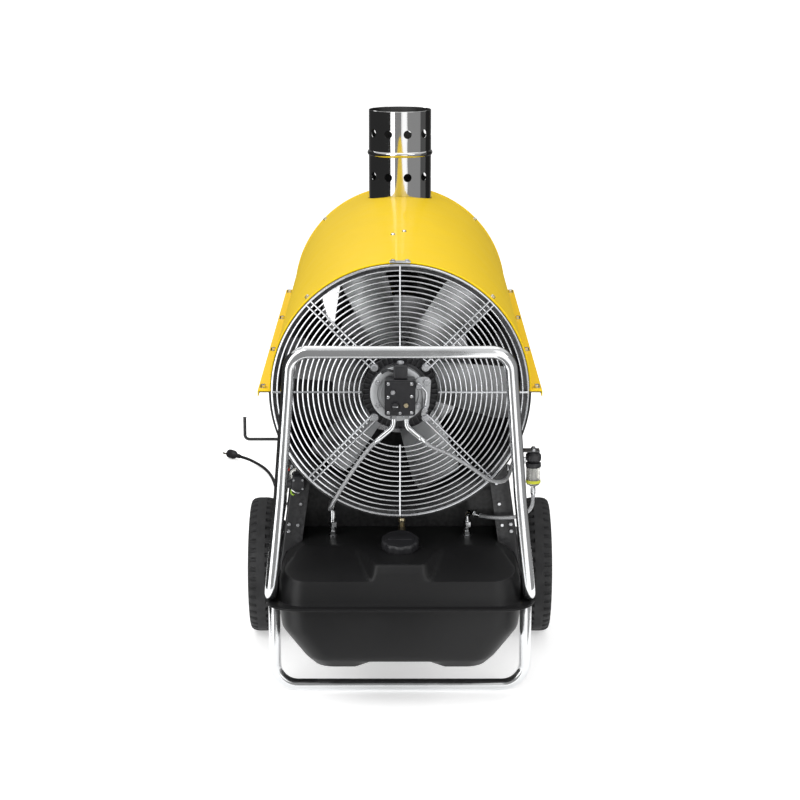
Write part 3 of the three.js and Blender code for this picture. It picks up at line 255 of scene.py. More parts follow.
def arc(radius, start, end, steps):
    angles = [math.radians(start + (end - start) * k / steps) for k in range(steps + 1)]
    return [(radius * math.cos(a), radius * math.sin(a)) for a in angles]


def rounded_rectangle(x0, x1, y0, y1, corner, steps=4):
    corner = min(corner, (x1 - x0) / 2 - 0.01, (y1 - y0) / 2 - 0.01)
    left, right, low, high = x0 + corner, x1 - corner, y0 + corner, y1 - corner
    centres = [(right, high, 0), (left, high, 90), (left, low, 180), (right, low, 270)]
    points = []
    for x, y, start in centres:
        points += [(x + a, y + b) for a, b in arc(corner, start, start + 90, steps)]
    return points


def turned(count, axis, place=(0, 0, 0), shift=0.0):
    """Matrices that stand things at even turns about an axis through a place."""
    for k in range(count):
        turn = Matrix.Rotation(2 * math.pi * (k + shift) / count, 4, axis)
        yield Matrix.Translation(place) @ turn


def bent(points, bend, steps):
    """A polyline with its corners rounded to a radius."""
    points = [Vector(p) for p in points]
    path = [points[0]]
    for before, corner, after in zip(points, points[1:], points[2:]):
        arriving = (corner - before).normalized()
        leaving = (after - corner).normalized()
        turn = arriving.angle(leaving)
        if turn < STRAIGHT:
            path.append(corner)
            continue
        axis = arriving.cross(leaving).normalized()
        start = corner - arriving * (bend * math.tan(turn / 2))
        centre = start + axis.cross(arriving) * bend
        for k in range(steps + 1):
            path.append(centre + Quaternion(axis, turn * k / steps) @ (start - centre))
    path.append(points[-1])
    return path


def between(t, p, q, start, end):
    """A point on the line that is at p when t is start and at q when it is end."""
    return p * ((end - t) / (end - start)) + q * ((t - start) / (end - start))


def smooth_path(points, count):
    """Centripetal Catmull-Rom through the points, at even steps along it."""
    points = [Vector(p) for p in points]
    ends = [points[0] * 2 - points[1], *points, points[-1] * 2 - points[-2]]
    fine, least = 24, 1e-4
    dense = []
    for a, b, c, d in zip(ends, ends[1:], ends[2:], ends[3:]):
        t0 = 0.0
        t1 = t0 + max((b - a).length, least) ** 0.5
        t2 = t1 + max((c - b).length, least) ** 0.5
        t3 = t2 + max((d - c).length, least) ** 0.5
        for k in range(fine):
            t = t1 + (t2 - t1) * k / fine
            bc = between(t, b, c, t1, t2)
            abc = between(t, between(t, a, b, t0, t1), bc, t0, t2)
            bcd = between(t, bc, between(t, c, d, t2, t3), t1, t3)
            dense.append(between(t, abc, bcd, t1, t2))
    dense.append(points[-1])
    lengths = [0.0]
    for p, q in zip(dense, dense[1:]):
        lengths.append(lengths[-1] + (q - p).length)
    path = []
    i = 0
    for k in range(count + 1):
        goal = lengths[-1] * k / count
        while i < len(dense) - 2 and lengths[i + 1] < goal:
            i += 1
        share = (goal - lengths[i]) / max(lengths[i + 1] - lengths[i], 1e-9)
        path.append(dense[i].lerp(dense[i + 1], min(share, 1.0)))
    return path


def carve(piece, cutter):
    """Cuts a closed shape out of a piece."""
    tool = cutter.make("cutter", [piece.data.materials[0]])
    modifier = piece.modifiers.new("cut", "BOOLEAN")
    modifier.operation = "DIFFERENCE"
    modifier.solver = "EXACT"
    modifier.object = tool
    depsgraph = bpy.context.evaluated_depsgraph_get()
    result = bpy.data.meshes.new_from_object(piece.evaluated_get(depsgraph))
    piece.modifiers.clear()
    piece.data = result
    shade_smooth(result, SHARP)
    bpy.data.objects.remove(tool)


def carve_round(piece, radius, low, high, axis, centre, sides):
    cutter = Build()
    cutter.solid([(radius, low), (radius, high)], axis, centre, sides)
    carve(piece, cutter)


# ---------------------------------------------------------------- shared material effects
class Graph:
    """The nodes of a material or of an effect, linked as they are made."""

    def __init__(self, tree):
        self.nodes = tree.nodes
        self.links = tree.links

    def node(self, kind, inputs=None, **settings):
        made = self.nodes.new(kind)
        for key, value in settings.items():
            setattr(made, key, value)
        for key, value in (inputs or {}).items():
            if isinstance(value, bpy.types.NodeSocket):
                self.links.new(value, made.inputs[key])
            else:
                made.inputs[key].default_value = value
        return made

    def object_noise(self, scale, detail, stretch=None):
        """Noise in object coordinates, which are metres in the model's frame."""
        coordinates = self.node("ShaderNodeTexCoord").outputs["Object"]
        if stretch is not None:
            mapping = {"Vector": coordinates, "Scale": stretch}
            coordinates = self.node("ShaderNodeMapping", mapping).outputs["Vector"]
        inputs = {"Vector": coordinates, "Scale": scale, "Detail": detail}
        return self.node("ShaderNodeTexNoise", inputs).outputs["Fac"]

    def remap(self, value, low, high, to_low=0.0, to_high=1.0):
        inputs = {"Value": value, 1: low, 2: high, 3: to_low, 4: to_high}
        return self.node("ShaderNodeMapRange", inputs).outputs["Result"]

    def maths(self, operation, *values):
        made = self.node("ShaderNodeMath", dict(enumerate(values)), operation=operation)
        return made.outputs[0]

    def blend(self, mask, under, over):
        inputs = {"Factor": mask, 6: under, 7: over}
        return self.node("ShaderNodeMix", inputs, data_type="RGBA").outputs[2]


FLOAT, COLOUR, VECTOR = "NodeSocketFloat", "NodeSocketColor", "NodeSocketVector"
GREY = (0.5, 0.5, 0.5, 1)
WHITE = (1, 1, 1, 1)


def effect(name, inputs, outputs):
    """An empty node group with named sockets, its graph, and the sockets inside it."""
    tree = bpy.data.node_groups.new(name, "ShaderNodeTree")
    for label, kind, value in inputs:
        socket = tree.interface.new_socket(label, in_out="INPUT", socket_type=kind)
        socket.default_value = value
    for label, kind in outputs:
        tree.interface.new_socket(label, in_out="OUTPUT", socket_type=kind)
    graph = Graph(tree)
    entry = graph.node("NodeGroupInput").outputs
    leaving = graph.node("NodeGroupOutput").inputs
    return tree, graph, entry, leaving


def grain_effect():
    """Fine texture: orange peel, cast skin or brushed lines, by its scale and stretch."""
    sockets = (("Scale", FLOAT, 200), ("Detail", FLOAT, 2), ("Stretch", VECTOR, (1, 1, 1)))
    tree, graph, entry, leaving = effect("fine_grain", sockets, (("Height", FLOAT),))
    noise = graph.object_noise(entry["Scale"], entry["Detail"], entry["Stretch"])
    graph.links.new(noise, leaving["Height"])
    return tree


def patches_effect():
    """Handled and cleaned patches that are smoother or rougher than the rest."""
    sockets = (("Low", FLOAT, 0.3), ("High", FLOAT, 0.5), ("Scale", FLOAT, 15))
    tree, graph, entry, leaving = effect("gloss_patches", sockets, (("Roughness", FLOAT),))
    noise = graph.object_noise(entry["Scale"], 4.0)
    rough = graph.remap(noise, 0.3, 0.7, entry["Low"], entry["High"])
    graph.links.new(rough, leaving["Roughness"])
    return tree


def film_effect():
    """A thin uneven film over a colour: dust on paint, or tarnish on metal."""
    sockets = (
        ("Colour", COLOUR, GREY), ("Film", COLOUR, GREY), ("Amount", FLOAT, 0.1),
        ("Scale", FLOAT, 6),
    )
    tree, graph, entry, leaving = effect("surface_film", sockets, (("Colour", COLOUR),))
    noise = graph.object_noise(entry["Scale"], 6.0)
    mask = graph.maths("MULTIPLY", graph.remap(noise, 0.46, 0.8), entry["Amount"])
    graph.links.new(graph.blend(mask, entry["Colour"], entry["Film"]), leaving["Colour"])
    return tree


def wear_effect():
    """Rubbed outer edges, broken up by noise."""
    sockets = (("Colour", COLOUR, GREY), ("Worn", COLOUR, GREY), ("Amount", FLOAT, 0.4))
    tree, graph, entry, leaving = effect("edge_wear", sockets, (("Colour", COLOUR),))
    pointiness = graph.node("ShaderNodeNewGeometry").outputs["Pointiness"]
    edge = graph.remap(pointiness, 0.535, 0.62)
    broken = graph.maths("MULTIPLY", edge, graph.remap(graph.object_noise(130, 3.0), 0.35, 0.65))
    mask = graph.maths("MULTIPLY", broken, entry["Amount"])
    graph.links.new(graph.blend(mask, entry["Colour"], entry["Worn"]), leaving["Colour"])
    return tree


FINE_GRAIN = grain_effect()
GLOSS_PATCHES = patches_effect()
SURFACE_FILM = film_effect()
EDGE_WEAR = wear_effect()


# ---------------------------------------------------------------- materials
class Look(Graph):
    """A principled material built up from the shared effects."""

    def __init__(self, name, colour, roughness, metallic=0.0):
        self.material = bpy.data.materials.new(name)
        self.material.use_nodes = True
        super().__init__(self.material.node_tree)
        self.shader = self.nodes["Principled BSDF"]
        self.shader.inputs["Base Color"].default_value = (*colour, 1)
        self.shader.inputs["Roughness"].default_value = roughness
        self.shader.inputs["Metallic"].default_value = metallic
        self.colour = (*colour, 1)
        self.height = None

    def effect(self, tree, output, **inputs):
        return self.node("ShaderNodeGroup", inputs, node_tree=tree).outputs[output]

    def recolour(self, colour):
        self.links.new(colour, self.shader.inputs["Base Color"])
        self.colour = colour

    def film(self, film, amount, scale):
        sockets = {"Colour": self.colour, "Film": (*film, 1), "Amount": amount, "Scale": scale}
        self.recolour(self.effect(SURFACE_FILM, "Colour", **sockets))

    def worn(self, under, amount):
        sockets = {"Colour": self.colour, "Worn": (*under, 1), "Amount": amount}
        self.recolour(self.effect(EDGE_WEAR, "Colour", **sockets))

    def gloss(self, low, high, scale):
        sockets = {"Low": low, "High": high, "Scale": scale}
        rough = self.effect(GLOSS_PATCHES, "Roughness", **sockets)
        self.links.new(rough, self.shader.inputs["Roughness"])

    def grain(self, scale, distance, detail=2.0, stretch=(1, 1, 1), strength=1.0):
        sockets = {"Scale": scale, "Detail": detail, "Stretch": stretch}
        self.bump(self.effect(FINE_GRAIN, "Height", **sockets), distance, strength)

    def bump(self, value, distance, strength=1.0):
        inputs = {"Height": value, "Distance": distance, "Strength": strength}
        made = self.node("ShaderNodeBump", inputs)
        if self.height is not None:
            self.links.new(self.height, made.inputs["Normal"])
        self.height = made.outputs["Normal"]
        self.links.new(self.height, self.shader.inputs["Normal"])


def painted(name, colour, roughness, coat, peel=0.00002, dusty=0.06, worn=0.3, shine=0.5):
    look = Look(name, colour, roughness)
    look.grain(420, peel)
    look.gloss(roughness * 0.92, roughness * 1.1, 14)
    look.film((0.12, 0.115, 0.11), dusty, 5.5)
    look.worn((0.3, 0.3, 0.31), worn)
    look.shader.inputs["Specular IOR Level"].default_value = shine
    look.shader.inputs["Coat Weight"].default_value = coat
    look.shader.inputs["Coat Roughness"].default_value = 0.06
    return look.material


def bare_metal(name, colour, roughness, stretch=(1, 1, 1), grain=260, depth=4e-6, stain=0.25):
    look = Look(name, colour, roughness, 1.0)
    look.grain(grain, depth, 3.0, stretch)
    look.gloss(roughness * 0.7, roughness * 1.5, 20)
    look.film(tuple(c * 0.72 for c in colour), stain, 6)
    return look.material


def moulded(name, colour, roughness, grain=900, depth=0.00003, lighter=1.5, worn=0.25):
    look = Look(name, colour, roughness)
    look.grain(grain, depth, 1.0)
    look.gloss(roughness * 0.85, roughness * 1.2, 30)
    look.film(tuple(min(c * lighter, 1) for c in colour), 0.5, 11)
    look.worn(tuple(min(c * 4 + 0.02, 1) for c in colour), worn)
    return look.material


def braided(name):
    """Woven steel wire over a fuel hose: two sets of strands that cross along the tube, with
    painted shade darkening the gaps between them.
    """
    look = Look(name, (0.82, 0.83, 0.84), 0.3, 0.9)
    coordinates = look.node("ShaderNodeTexCoord").outputs["UV"]
    place = look.node("ShaderNodeSeparateXYZ", {0: coordinates}).outputs
    strands = []
    for way in (1, -1):
        along = look.maths("MULTIPLY", place["Y"], way * 7.0)
        around = look.maths("MULTIPLY_ADD", place["X"], 8.0, along)
        strands.append(look.maths("SINE", look.maths("MULTIPLY", around, 2 * math.pi)))
    weave = look.maths("MAXIMUM", *strands)
    look.bump(weave, 0.0004)
    # Painted shade: the colour darkens where the weave is low, between the strands.
    strand_gap_shade = look.remap(weave, 0.2, 0.9, 1.0, 0.0)
    look.recolour(look.blend(strand_gap_shade, look.colour, (0.2, 0.2, 0.21, 1)))
    look.gloss(0.26, 0.42, 40)
    return look.material


def clear(name, colour, tint, roughness=0.08):
    """Clear plastic with a tint in patches, or fuel."""
    look = Look(name, colour, roughness)
    look.shader.inputs["Transmission Weight"].default_value = 0.9
    look.shader.inputs["IOR"].default_value = 1.45
    look.gloss(roughness * 0.7, roughness * 1.6, 40)
    look.grain(30, 0.0003, strength=0.3)
    look.film(tint, 0.3, 18)
    return look.material


YELLOW = painted("yellow_paint_look", (0.88, 0.6, 0.014), 0.45, 0.12, 4e-6, 0.0, 0.0, 0.05)
# Painted shade: a near-black matte look for the cover's inner face, darker than the black paint,
# standing for the shade inside the casing.
INNER_SHADE = painted("inner_shade_look", (0.008, 0.008, 0.009), 0.6, 0.0)
BLACK = painted("black_paint_look", (0.01, 0.01, 0.011), 0.36, 0.2, dusty=0.012, worn=0.15)
TANK = painted("tank_paint_look", (0.009, 0.009, 0.0095), 0.4, 0.0, 0.00003, 0.008, 0.04, 0.3)
CHROME = bare_metal("chrome_look", (0.78, 0.79, 0.8), 0.14, depth=1e-6, stain=0.1)
STEEL = bare_metal("stainless_look", (0.7, 0.7, 0.7), 0.07, (14, 14, 1), 60, 2e-6, 0.15)
SOOTY = bare_metal("sooty_steel_look", (0.1, 0.1, 0.1), 0.45, grain=120, depth=2e-5, stain=0.5)
SPIGOT = bare_metal("spigot_look", (0.6, 0.6, 0.61), 0.26, (1, 12, 1), 160, 8e-6)
WIRE = bare_metal("zinc_wire_look", (0.74, 0.75, 0.77), 0.22, grain=500)
CAST = bare_metal("cast_aluminium_look", (0.56, 0.57, 0.58), 0.42, grain=700, depth=8e-5)
BLADE = bare_metal("fan_aluminium_look", (0.66, 0.67, 0.68), 0.44, (6, 6, 1), 120, 4e-6)
BRASS = bare_metal("brass_look", (0.74, 0.64, 0.42), 0.26, grain=400)
MOTOR = moulded("motor_paint_look", (0.014, 0.014, 0.016), 0.42, 500, 0.00006)
PLASTIC = moulded("black_plastic_look", (0.017, 0.017, 0.019), 0.42)
PUMP = moulded("pump_paint_look", (0.012, 0.012, 0.014), 0.34, 600, 0.00004)
TYRE = moulded("tyre_rubber_look", (0.02, 0.02, 0.021), 0.7, 260, 0.00012, 1.8)
CORD = moulded("cord_rubber_look", (0.012, 0.012, 0.013), 0.5, 700)
RED = moulded("red_plastic_look", (0.45, 0.02, 0.015), 0.3, worn=0.0)
BAND = moulded("filter_band_look", (0.6, 0.62, 0.03), 0.4, worn=0.0)
EARTH = moulded("earth_wire_look", (0.3, 0.5, 0.04), 0.4, worn=0.0)
PAPER = moulded("filter_element_look", (0.42, 0.42, 0.42), 0.6, 1200, worn=0.0)
BRAID = braided("braided_hose_look")
CLEAR = clear("clear_plastic_look", (0.93, 0.93, 0.9), (0.8, 0.76, 0.55))
LENS = clear("lamp_lens_look", (0.9, 0.42, 0.05), (0.7, 0.3, 0.03), 0.12)
FUEL = clear("fuel_look", (0.3, 0.24, 0.12), (0.2, 0.15, 0.06), 0.05)


# ---------------------------------------------------------------- power cord and plug
CORD_RADIUS = 4.25
CORD_GAP = 0.9  # under the cord, on the floor and on the tank's flange
FLANGE_TOP = 234.15
CORD_REST = CORD_RADIUS + CORD_GAP
CORD_ON_FLANGE = FLANGE_TOP + CORD_RADIUS + CORD_GAP
CORD_ROUTE = [
    (-236.0, 76.19, 427.28), (-236.5, 88, 412), (-240, 106, 385), (-247, 124, 345),
    (-256, 146, 300), (-262, 176, 268), (-263, 212, CORD_ON_FLANGE + 2),
    (-263, 260, CORD_ON_FLANGE), (-263, 330, CORD_ON_FLANGE), (-263, 400, CORD_ON_FLANGE),
    (-263, 470, CORD_ON_FLANGE), (-263, 520, 236), (-263, 556, 212), (-263, 578, 170),
    (-264, 590, 120), (-265, 602, 68), (-266, 624, 30), (-268, 660, 10.5), (-271, 710, CORD_REST),
    (-278, 820, CORD_REST), (-292, 980, CORD_REST), (-308, 1160, CORD_REST),
    (-323, 1360, CORD_REST), (-339, 1580, CORD_REST), (-361, 1760, CORD_REST),
    (-390, 1872, CORD_REST), (-417, 1922, CORD_REST + 3), (-443, 1953, 12.3),
    (-469.59, 1981.56, 13.3),
]
PLUG_END = Vector((-470, 1982, 13.3))
PLUG_TURN = math.radians(133)


def power_cord():
    path = smooth_path(CORD_ROUTE, 420)
    build = Build()
    build.tube(path, CORD_RADIUS, 14)
    cord = build.make("mains_cord", [CORD], "cord_rubber", ["power_cord"])
    plug = mains_plug()


def mains_plug():
    build = Build()
    profile = [
        (5.6, 0), (6.2, 4), (6.2, 7), (5.4, 8), (6.4, 10), (6.6, 13), (6.0, 14), (7.6, 19),
        (11.5, 25), (12.8, 29), (12.8, 46), (12.0, 49.5),
    ]
    build.solid(profile, "x", (0, 0, 0), 40)
    for across in (-9.5, 9.5):
        pin = [(2.4, 49), (2.4, 66.5), (1.4, 68.6), (0, 68.8)]
        build.solid(pin, "x", (0, across, 0), 16, look=1)
    build.moved(Matrix.Translation(PLUG_END) @ Matrix.Rotation(PLUG_TURN, 4, "Z"))
    return build.make("plug", [PLASTIC, BRASS], "black_plastic", ["mains_plug"])


power_cord()


# ---------------------------------------------------------------- casing
CASING_RADIUS = 260.0
CASING_LENGTH = 1150.0
SHEET = 2.0  # thickness
LEDGE = 284.0  # half width over the side ledges
LEDGE_LIP = 10.0
LEDGE_BOLTS = (27, 394, 760, 1110)
BOLT_LINE = 274.0  # of the ledges' bolts, from the middle
FLUE_Y = 1037.0
FLUE_RADIUS = 75.0
FLUE_TOP = 1118.0
JOINT_GAP = 0.3  # between the cover and the lower casing
ARC_STEPS = 128
HEM = 1.6  # from each end of the casing to the middle of its rolled edge
ON_AXIS = (0, 0, AXIS)
DIAGONALS = (45, 135, 225, 315)  # degrees round the casing's axis
ON_FLUE = (0, FLUE_Y, 0)


def along_y(build, outline, stations):
    """An outline in X and height above the axis, drawn out along Y."""
    build.rings([[(x, y, AXIS + z) for x, z in outline] for y in stations])


def ring_points(radius, y, steps, start=0.0, end=360.0):
    """Points on a circle round the casing's axis. The last of a full turn is left out."""
    points = [(x, y, AXIS + z) for x, z in arc(radius, start, end, steps)]
    return points[:-1] if end - start >= 360 else points


def on_circle(radius, degrees, y, x=0.0):
    angle = math.radians(degrees)
    return (x + radius * math.cos(angle), y, AXIS + radius * math.sin(angle))


def turned_about_axis(degrees):
    turn = Matrix.Rotation(-math.radians(degrees), 4, "Y")
    return Matrix.Translation(ON_AXIS) @ turn


def rim_screws(build, degrees, look=0):
    for y in (35, CASING_LENGTH - 35):
        for side in (-1, 1):
            turn = Matrix.Rotation(side * math.radians(degrees), 4, "Y")
            with build.placed(Matrix.Translation((0, y, AXIS)) @ turn):
                build.bolt((0, 0, CASING_RADIUS - 0.5), "z", 8.0, 5.0, look=look)


def upper_cover():
    lift = math.degrees(math.asin(SHEET / CASING_RADIUS))
    within = LEDGE - SHEET
    outline = [
        (LEDGE, -LEDGE_LIP), (LEDGE, SHEET - 1), (LEDGE - 1, SHEET),
        *arc(CASING_RADIUS, lift, 180 - lift, ARC_STEPS),
        (1 - LEDGE, SHEET), (-LEDGE, SHEET - 1), (-LEDGE, -LEDGE_LIP), (-within, -LEDGE_LIP),
        (-within, 0), *arc(CASING_RADIUS - SHEET, 180, 0, ARC_STEPS), (within, 0),
        (within, -LEDGE_LIP),
    ]
    build = Build()
    along_y(build, outline, (0, CASING_LENGTH))
    inside = outline.index((-within, 0)) + 1
    # The inner face takes the near-black matte look that paints the shade inside the casing.
    build.looks[inside : inside + ARC_STEPS] = [1] * ARC_STEPS
    shell = build.make("cover_shell", [YELLOW, INNER_SHADE], "yellow_paint", ["upper_cover"])
    carve_round(shell, 77, 700, 1000, "z", ON_FLUE, 72)

    trim = Build()
    for y in (HEM, CASING_LENGTH - HEM):
        trim.tube(ring_points(CASING_RADIUS - 0.4, y, ARC_STEPS, lift, 180 - lift), 2.2, 8)
    level = AXIS + SHEET - 0.4
    for side in (-1, 1):
        trim.tube([(side * x, HEM, level) for x in (BOLT_LINE - 12, LEDGE - 1)], 1.9, 8)
    trim.make("cover_hem", [YELLOW], "yellow_paint")

    screws = Build()
    for side in (-1, 1):
        for y in LEDGE_BOLTS:
            screws.bolt((side * BOLT_LINE, y, AXIS + SHEET), "z", 10.0, 6.5)
    rim_screws(screws, 45)
    dome = [(0, 919.4), (2.4, 919), (4.2, 917.8), (5, 916), (5, 914)]
    for x, y in ((-15, 365), (9, 408)):
        screws.solid(dome, "z", (x, y, 0), 20)
    screws.box((-21, 21), (-6, 9), (915.6, 918.4), 1.2)
    for x in (-14, 14):
        screws.bolt((x, 2, 918.2), "z", 7.0, 3.6)
    screws.make("cover_screws", [WIRE], "zinc_wire")


def lower_casing():
    flange = LEDGE - SHEET - JOINT_GAP
    low = SHEET + JOINT_GAP
    inner = CASING_RADIUS - SHEET
    drop = math.degrees(math.asin(low / CASING_RADIUS))
    inner_drop = math.degrees(math.asin(JOINT_GAP / inner))
    outline = [
        (-flange, -JOINT_GAP), (-flange, -low),
        *arc(CASING_RADIUS, 180 + drop, 360 - drop, ARC_STEPS),
        (flange, -low), (flange, -JOINT_GAP),
        *arc(inner, -inner_drop, inner_drop - 180, ARC_STEPS),
    ]
    build = Build()
    along_y(build, outline, (0, CASING_LENGTH))
    hems = [(y, 0.4, 2.2) for y in (HEM, CASING_LENGTH - HEM)]
    beads = [(y, 0.6, 1.6) for y in (300, 850)]
    for y, sunk, radius in hems + beads:
        edge = ring_points(CASING_RADIUS - sunk, y, ARC_STEPS, 180 + drop, 360 - drop)
        build.tube(edge, radius, 8)
    rim_screws(build, 135, look=1)
    build.make("casing_shell", [BLACK, WIRE], "black_paint", ["lower_casing"])


def round_sheet_parts():
    build = Build()
    profile = [
        (246, -2), (257.2, -2), (257.2, -0.2), (248.6, 0), (248, 0.8), (248, 108), (257.2, 108),
        (257.2, 110), (246.6, 110), (246, 109),
    ]
    build.lathe(profile, "y", ON_AXIS, 144)
    build.make("intake_duct", [BLACK], "black_paint", ["intake_ring"])

    build = Build()
    face = CASING_LENGTH - SHEET
    profile = [
        (198, face), (255.2, face), (255.2, face - 18), (257.2, face - 18),
        (257.2, CASING_LENGTH - 0.8), (256.4, CASING_LENGTH), (198, CASING_LENGTH),
    ]
    build.lathe(profile, "y", ON_AXIS, 144)
    for angle in range(30, 360, 60):
        build.bolt(on_circle(236, angle, CASING_LENGTH), "y", 8.0, 4.0, look=1)
    build.make("outlet_wall", [BLACK, WIRE], "black_paint", ["front_panel"])

    build = Build()
    start, end = CASING_LENGTH + 0.3, CASING_LENGTH + 60
    bead = [(200 + 4 * math.sin(math.pi * k / 10), end - 23 + 14 * k / 10) for k in range(11)]
    profile = [
        (198, start), (216, start), (216, start + 2), (202, start + 2), (200, start + 4), *bead,
        (200, end - 1), (199, end), (198, end - 1),
    ]
    build.lathe(profile, "y", ON_AXIS, 144)
    for k in range(8):
        build.bolt(on_circle(209, 22.5 + 45 * k, start + 2), "y", 7.0, 3.4, washer=False)
    build.make("outlet_collar", [SPIGOT], "stainless", ["outlet_spigot"])


def flue():
    inner = FLUE_RADIUS - 1.5
    bead = []
    for k in range(9):
        swell = 3.5 * math.sin(math.pi * k / 8) ** 0.7
        bead.append((FLUE_RADIUS + swell, 1009 + 12 * k / 8))
    profile = [
        (inner, 807.2), (FLUE_RADIUS, 807.2), (FLUE_RADIUS, 1006), *bead,
        (FLUE_RADIUS + 0.2, 1024), (FLUE_RADIUS, FLUE_TOP - 0.5), (FLUE_RADIUS - 0.75, FLUE_TOP),
        (inner, FLUE_TOP - 0.5),
    ]
    build = Build()
    build.lathe(profile, "z", ON_FLUE, 128)
    inside = len(profile) - 1
    build.looks = [int(k % len(profile) == inside) for k in range(len(build.faces))]
    pipe = build.make("flue_stack", [STEEL, SOOTY], "stainless", ["flue_pipe"])
    vents = Build()
    for height in (961, 1064):
        for turn in turned(10, "Z", (0, FLUE_Y, height), 0.89):
            with vents.placed(turn):
                vents.solid([(10, 50), (10, 90)], "x", (0, 0, 0), 32)
    carve(pipe, vents)
    seam = Build()
    for heights in ((812, 1004), (1026, 1112)):
        seam.box((-1.6, 1.6), (FLUE_Y + 74, FLUE_Y + 76), heights, 0.6)
    seam.make("flue_seam", [STEEL], "stainless")


def chamber():
    radius, rear, front = 150.0, 262.0, CASING_LENGTH - 14
    dome = []
    inner = []
    for k in range(15):
        turn = math.pi / 2 * k / 14
        dome.append((radius * math.cos(turn), front - 34 + 34 * math.sin(turn)))
        inner.append(((radius - 2) * math.cos(turn), front - 36 + 34 * math.sin(turn)))
    ribs = []
    for middle in range(420, 941, 130):
        ribs += [(radius, middle - 8), (radius - 2.4, middle), (radius, middle + 8)]
    profile = [
        (56, rear), (radius - 2, rear), (radius, rear + 2), *ribs, *dome, *reversed(inner),
        (radius - 2, rear + 2), (56, rear + 2),
    ]
    build = Build()
    build.lathe(profile, "y", ON_AXIS, 96)
    shell = build.make("burner_drum", [SPIGOT], "stainless", ["combustion_chamber"])
    carve_round(shell, 70, 700, 900, "z", ON_FLUE, 64)
    build = Build()
    stub = [(70.8, 786), (72.3, 786), (72.3, 849), (71.6, 851), (70.8, 849)]
    build.lathe(stub, "z", ON_FLUE, 96)
    build.make("flue_stub", [SPIGOT], "stainless")
    build = Build()
    end = rear - 0.3
    tube = [
        (51, end - 48), (53, end - 48), (53, end - 4), (55, end - 2), (70, end - 2), (70, end),
        (51, end),
    ]
    build.lathe(tube, "y", ON_AXIS, 72)
    for angle in DIAGONALS:
        build.bolt(on_circle(62, angle, end - 2), "y", 7.0, 4.0, outwards=-1)
    build.make("flame_tube", [SPIGOT], "stainless", ["burner_tube"])


# ---------------------------------------------------------------- fan guard, motor and fan
def fan_guard():
    build = Build()
    outer = 254.9
    radii = [outer - 10.2 * k for k in range(18)]
    build.tube(ring_points(outer, -4.8, 160), 2.5, 10, loop=True)
    for radius in radii[1:15]:
        build.tube(ring_points(radius, -5.7, 140), 1.6, 8, loop=True)
    for radius in radii[15:]:
        build.tube(ring_points(radius, -5.7, 80, -45, 225), 1.6, 8)
    for angle in (0, 90, 180, 270):
        inner = radii[14] if angle == 270 else radii[17]
        with build.placed(turned_about_axis(angle)):
            build.tube([(inner - 5, -8.7, 0), (outer, -8.7, 0)], 2.0, 10)
    bend = 5.75
    eye = arc(bend, 90, 270, 12)
    loop = [(outer, -9.6, bend), *[(71.75 + a, -9.6, b) for a, b in eye], (outer, -9.6, -bend)]
    for angle in DIAGONALS:
        with build.placed(turned_about_axis(angle)):
            build.tube(loop, 2.0, 10)
    build.make("guard_wires", [WIRE], "zinc_wire", ["fan_guard"])


def motor():
    build = Build()
    rear, front = 7.0, 111.0
    fins = 36
    outline = []
    for k in range(fins):
        for radius, share in ((64, -0.3), (72.6, -0.2), (73.4, 0.0), (72.6, 0.2), (64, 0.3)):
            angle = 2 * math.pi * (k + share) / fins
            outline.append((radius * math.cos(angle), radius * math.sin(angle)))
    along_y(build, outline, (rear, front - 10))
    shield = [
        (70, front - 14), (70, front - 8), (58, front), (22, front), (20, front - 2),
    ]
    build.solid(shield, "y", ON_AXIS, 64)
    build.box((-24, 24), (30, 78), (AXIS - 72.9, AXIS - 60), 3)
    build.make("motor_casing", [MOTOR], "motor_paint", ["motor_body"])

    build = Build()
    cover = [
        (58, -7.3), (60, -6.4), (61, -1.5), (73.6, -1.5), (73.6, -6.6), (74.4, -7.2), (75, -6.6),
        (75, 6.7),
    ]
    build.solid(cover, "y", ON_AXIS, 96)
    for k in range(40):
        with build.placed(turned_about_axis(4.5 + 9 * k)):
            build.box((59.5, 74.2), (-6.9, -1), (-1.1, 1.1), 0.5)
    lug = (72.2, 0, 0)
    for angle in DIAGONALS:
        with build.placed(turned_about_axis(angle)):
            build.solid([(9.5, -7.4), (9.5, -1)], "y", lug, 20)
            build.solid([(3, -13), (3, -7)], "y", lug, 12, look=1)
            build.bolt((lug[0], -11.8, 0), "y", 11.0, 5.6, outwards=-1, look=1)
    build.make("motor_cover", [MOTOR, WIRE], "motor_paint", ["motor_end_cover"])

    build = Build()
    build.solid([(8, 83), (8, 169), (7, 170)], "y", ON_AXIS, 40)
    build.make("fan_shaft", [SPIGOT], "stainless", ["motor_shaft"], "fan")


def fan_blade(build, middle):
    """A twisted and cambered blade, from the hub out to its rounded tip."""
    across_steps, out_steps = 12, 14
    rings = []
    for i in range(out_steps + 1):
        share = i / out_steps
        radius = 35 + (239.5 - 35) * share
        chord = 84 + (118 - 84) * share
        pitch = math.radians(44 + (26 - 44) * share)
        root = min(1.0, 0.6 + 0.4 * min(1.0, share / 0.22))
        tip = 1 - 0.16 * max(0.0, (share - 0.82) / 0.18) ** 2
        width = chord * root * tip
        ring = []
        forwards = range(across_steps + 1)
        for side, order in ((-1, forwards), (1, reversed(forwards))):
            for k in order:
                along = k / across_steps - 0.5
                edge = 1 - (2 * abs(along)) ** 6
                offset = side * 1.4 * (0.25 + 0.75 * edge)
                rise = 0.1 * width * (1 - 4 * along * along) + offset
                across = along * width * math.cos(pitch) - rise * math.sin(pitch)
                deep = along * width * math.sin(pitch) + rise * math.cos(pitch)
                angle = middle + across / max(radius, 60)
                x, z = radius * math.cos(angle), AXIS + radius * math.sin(angle)
                ring.append((x, 150 + deep, z))
        rings.append(ring)
    build.rings(rings)


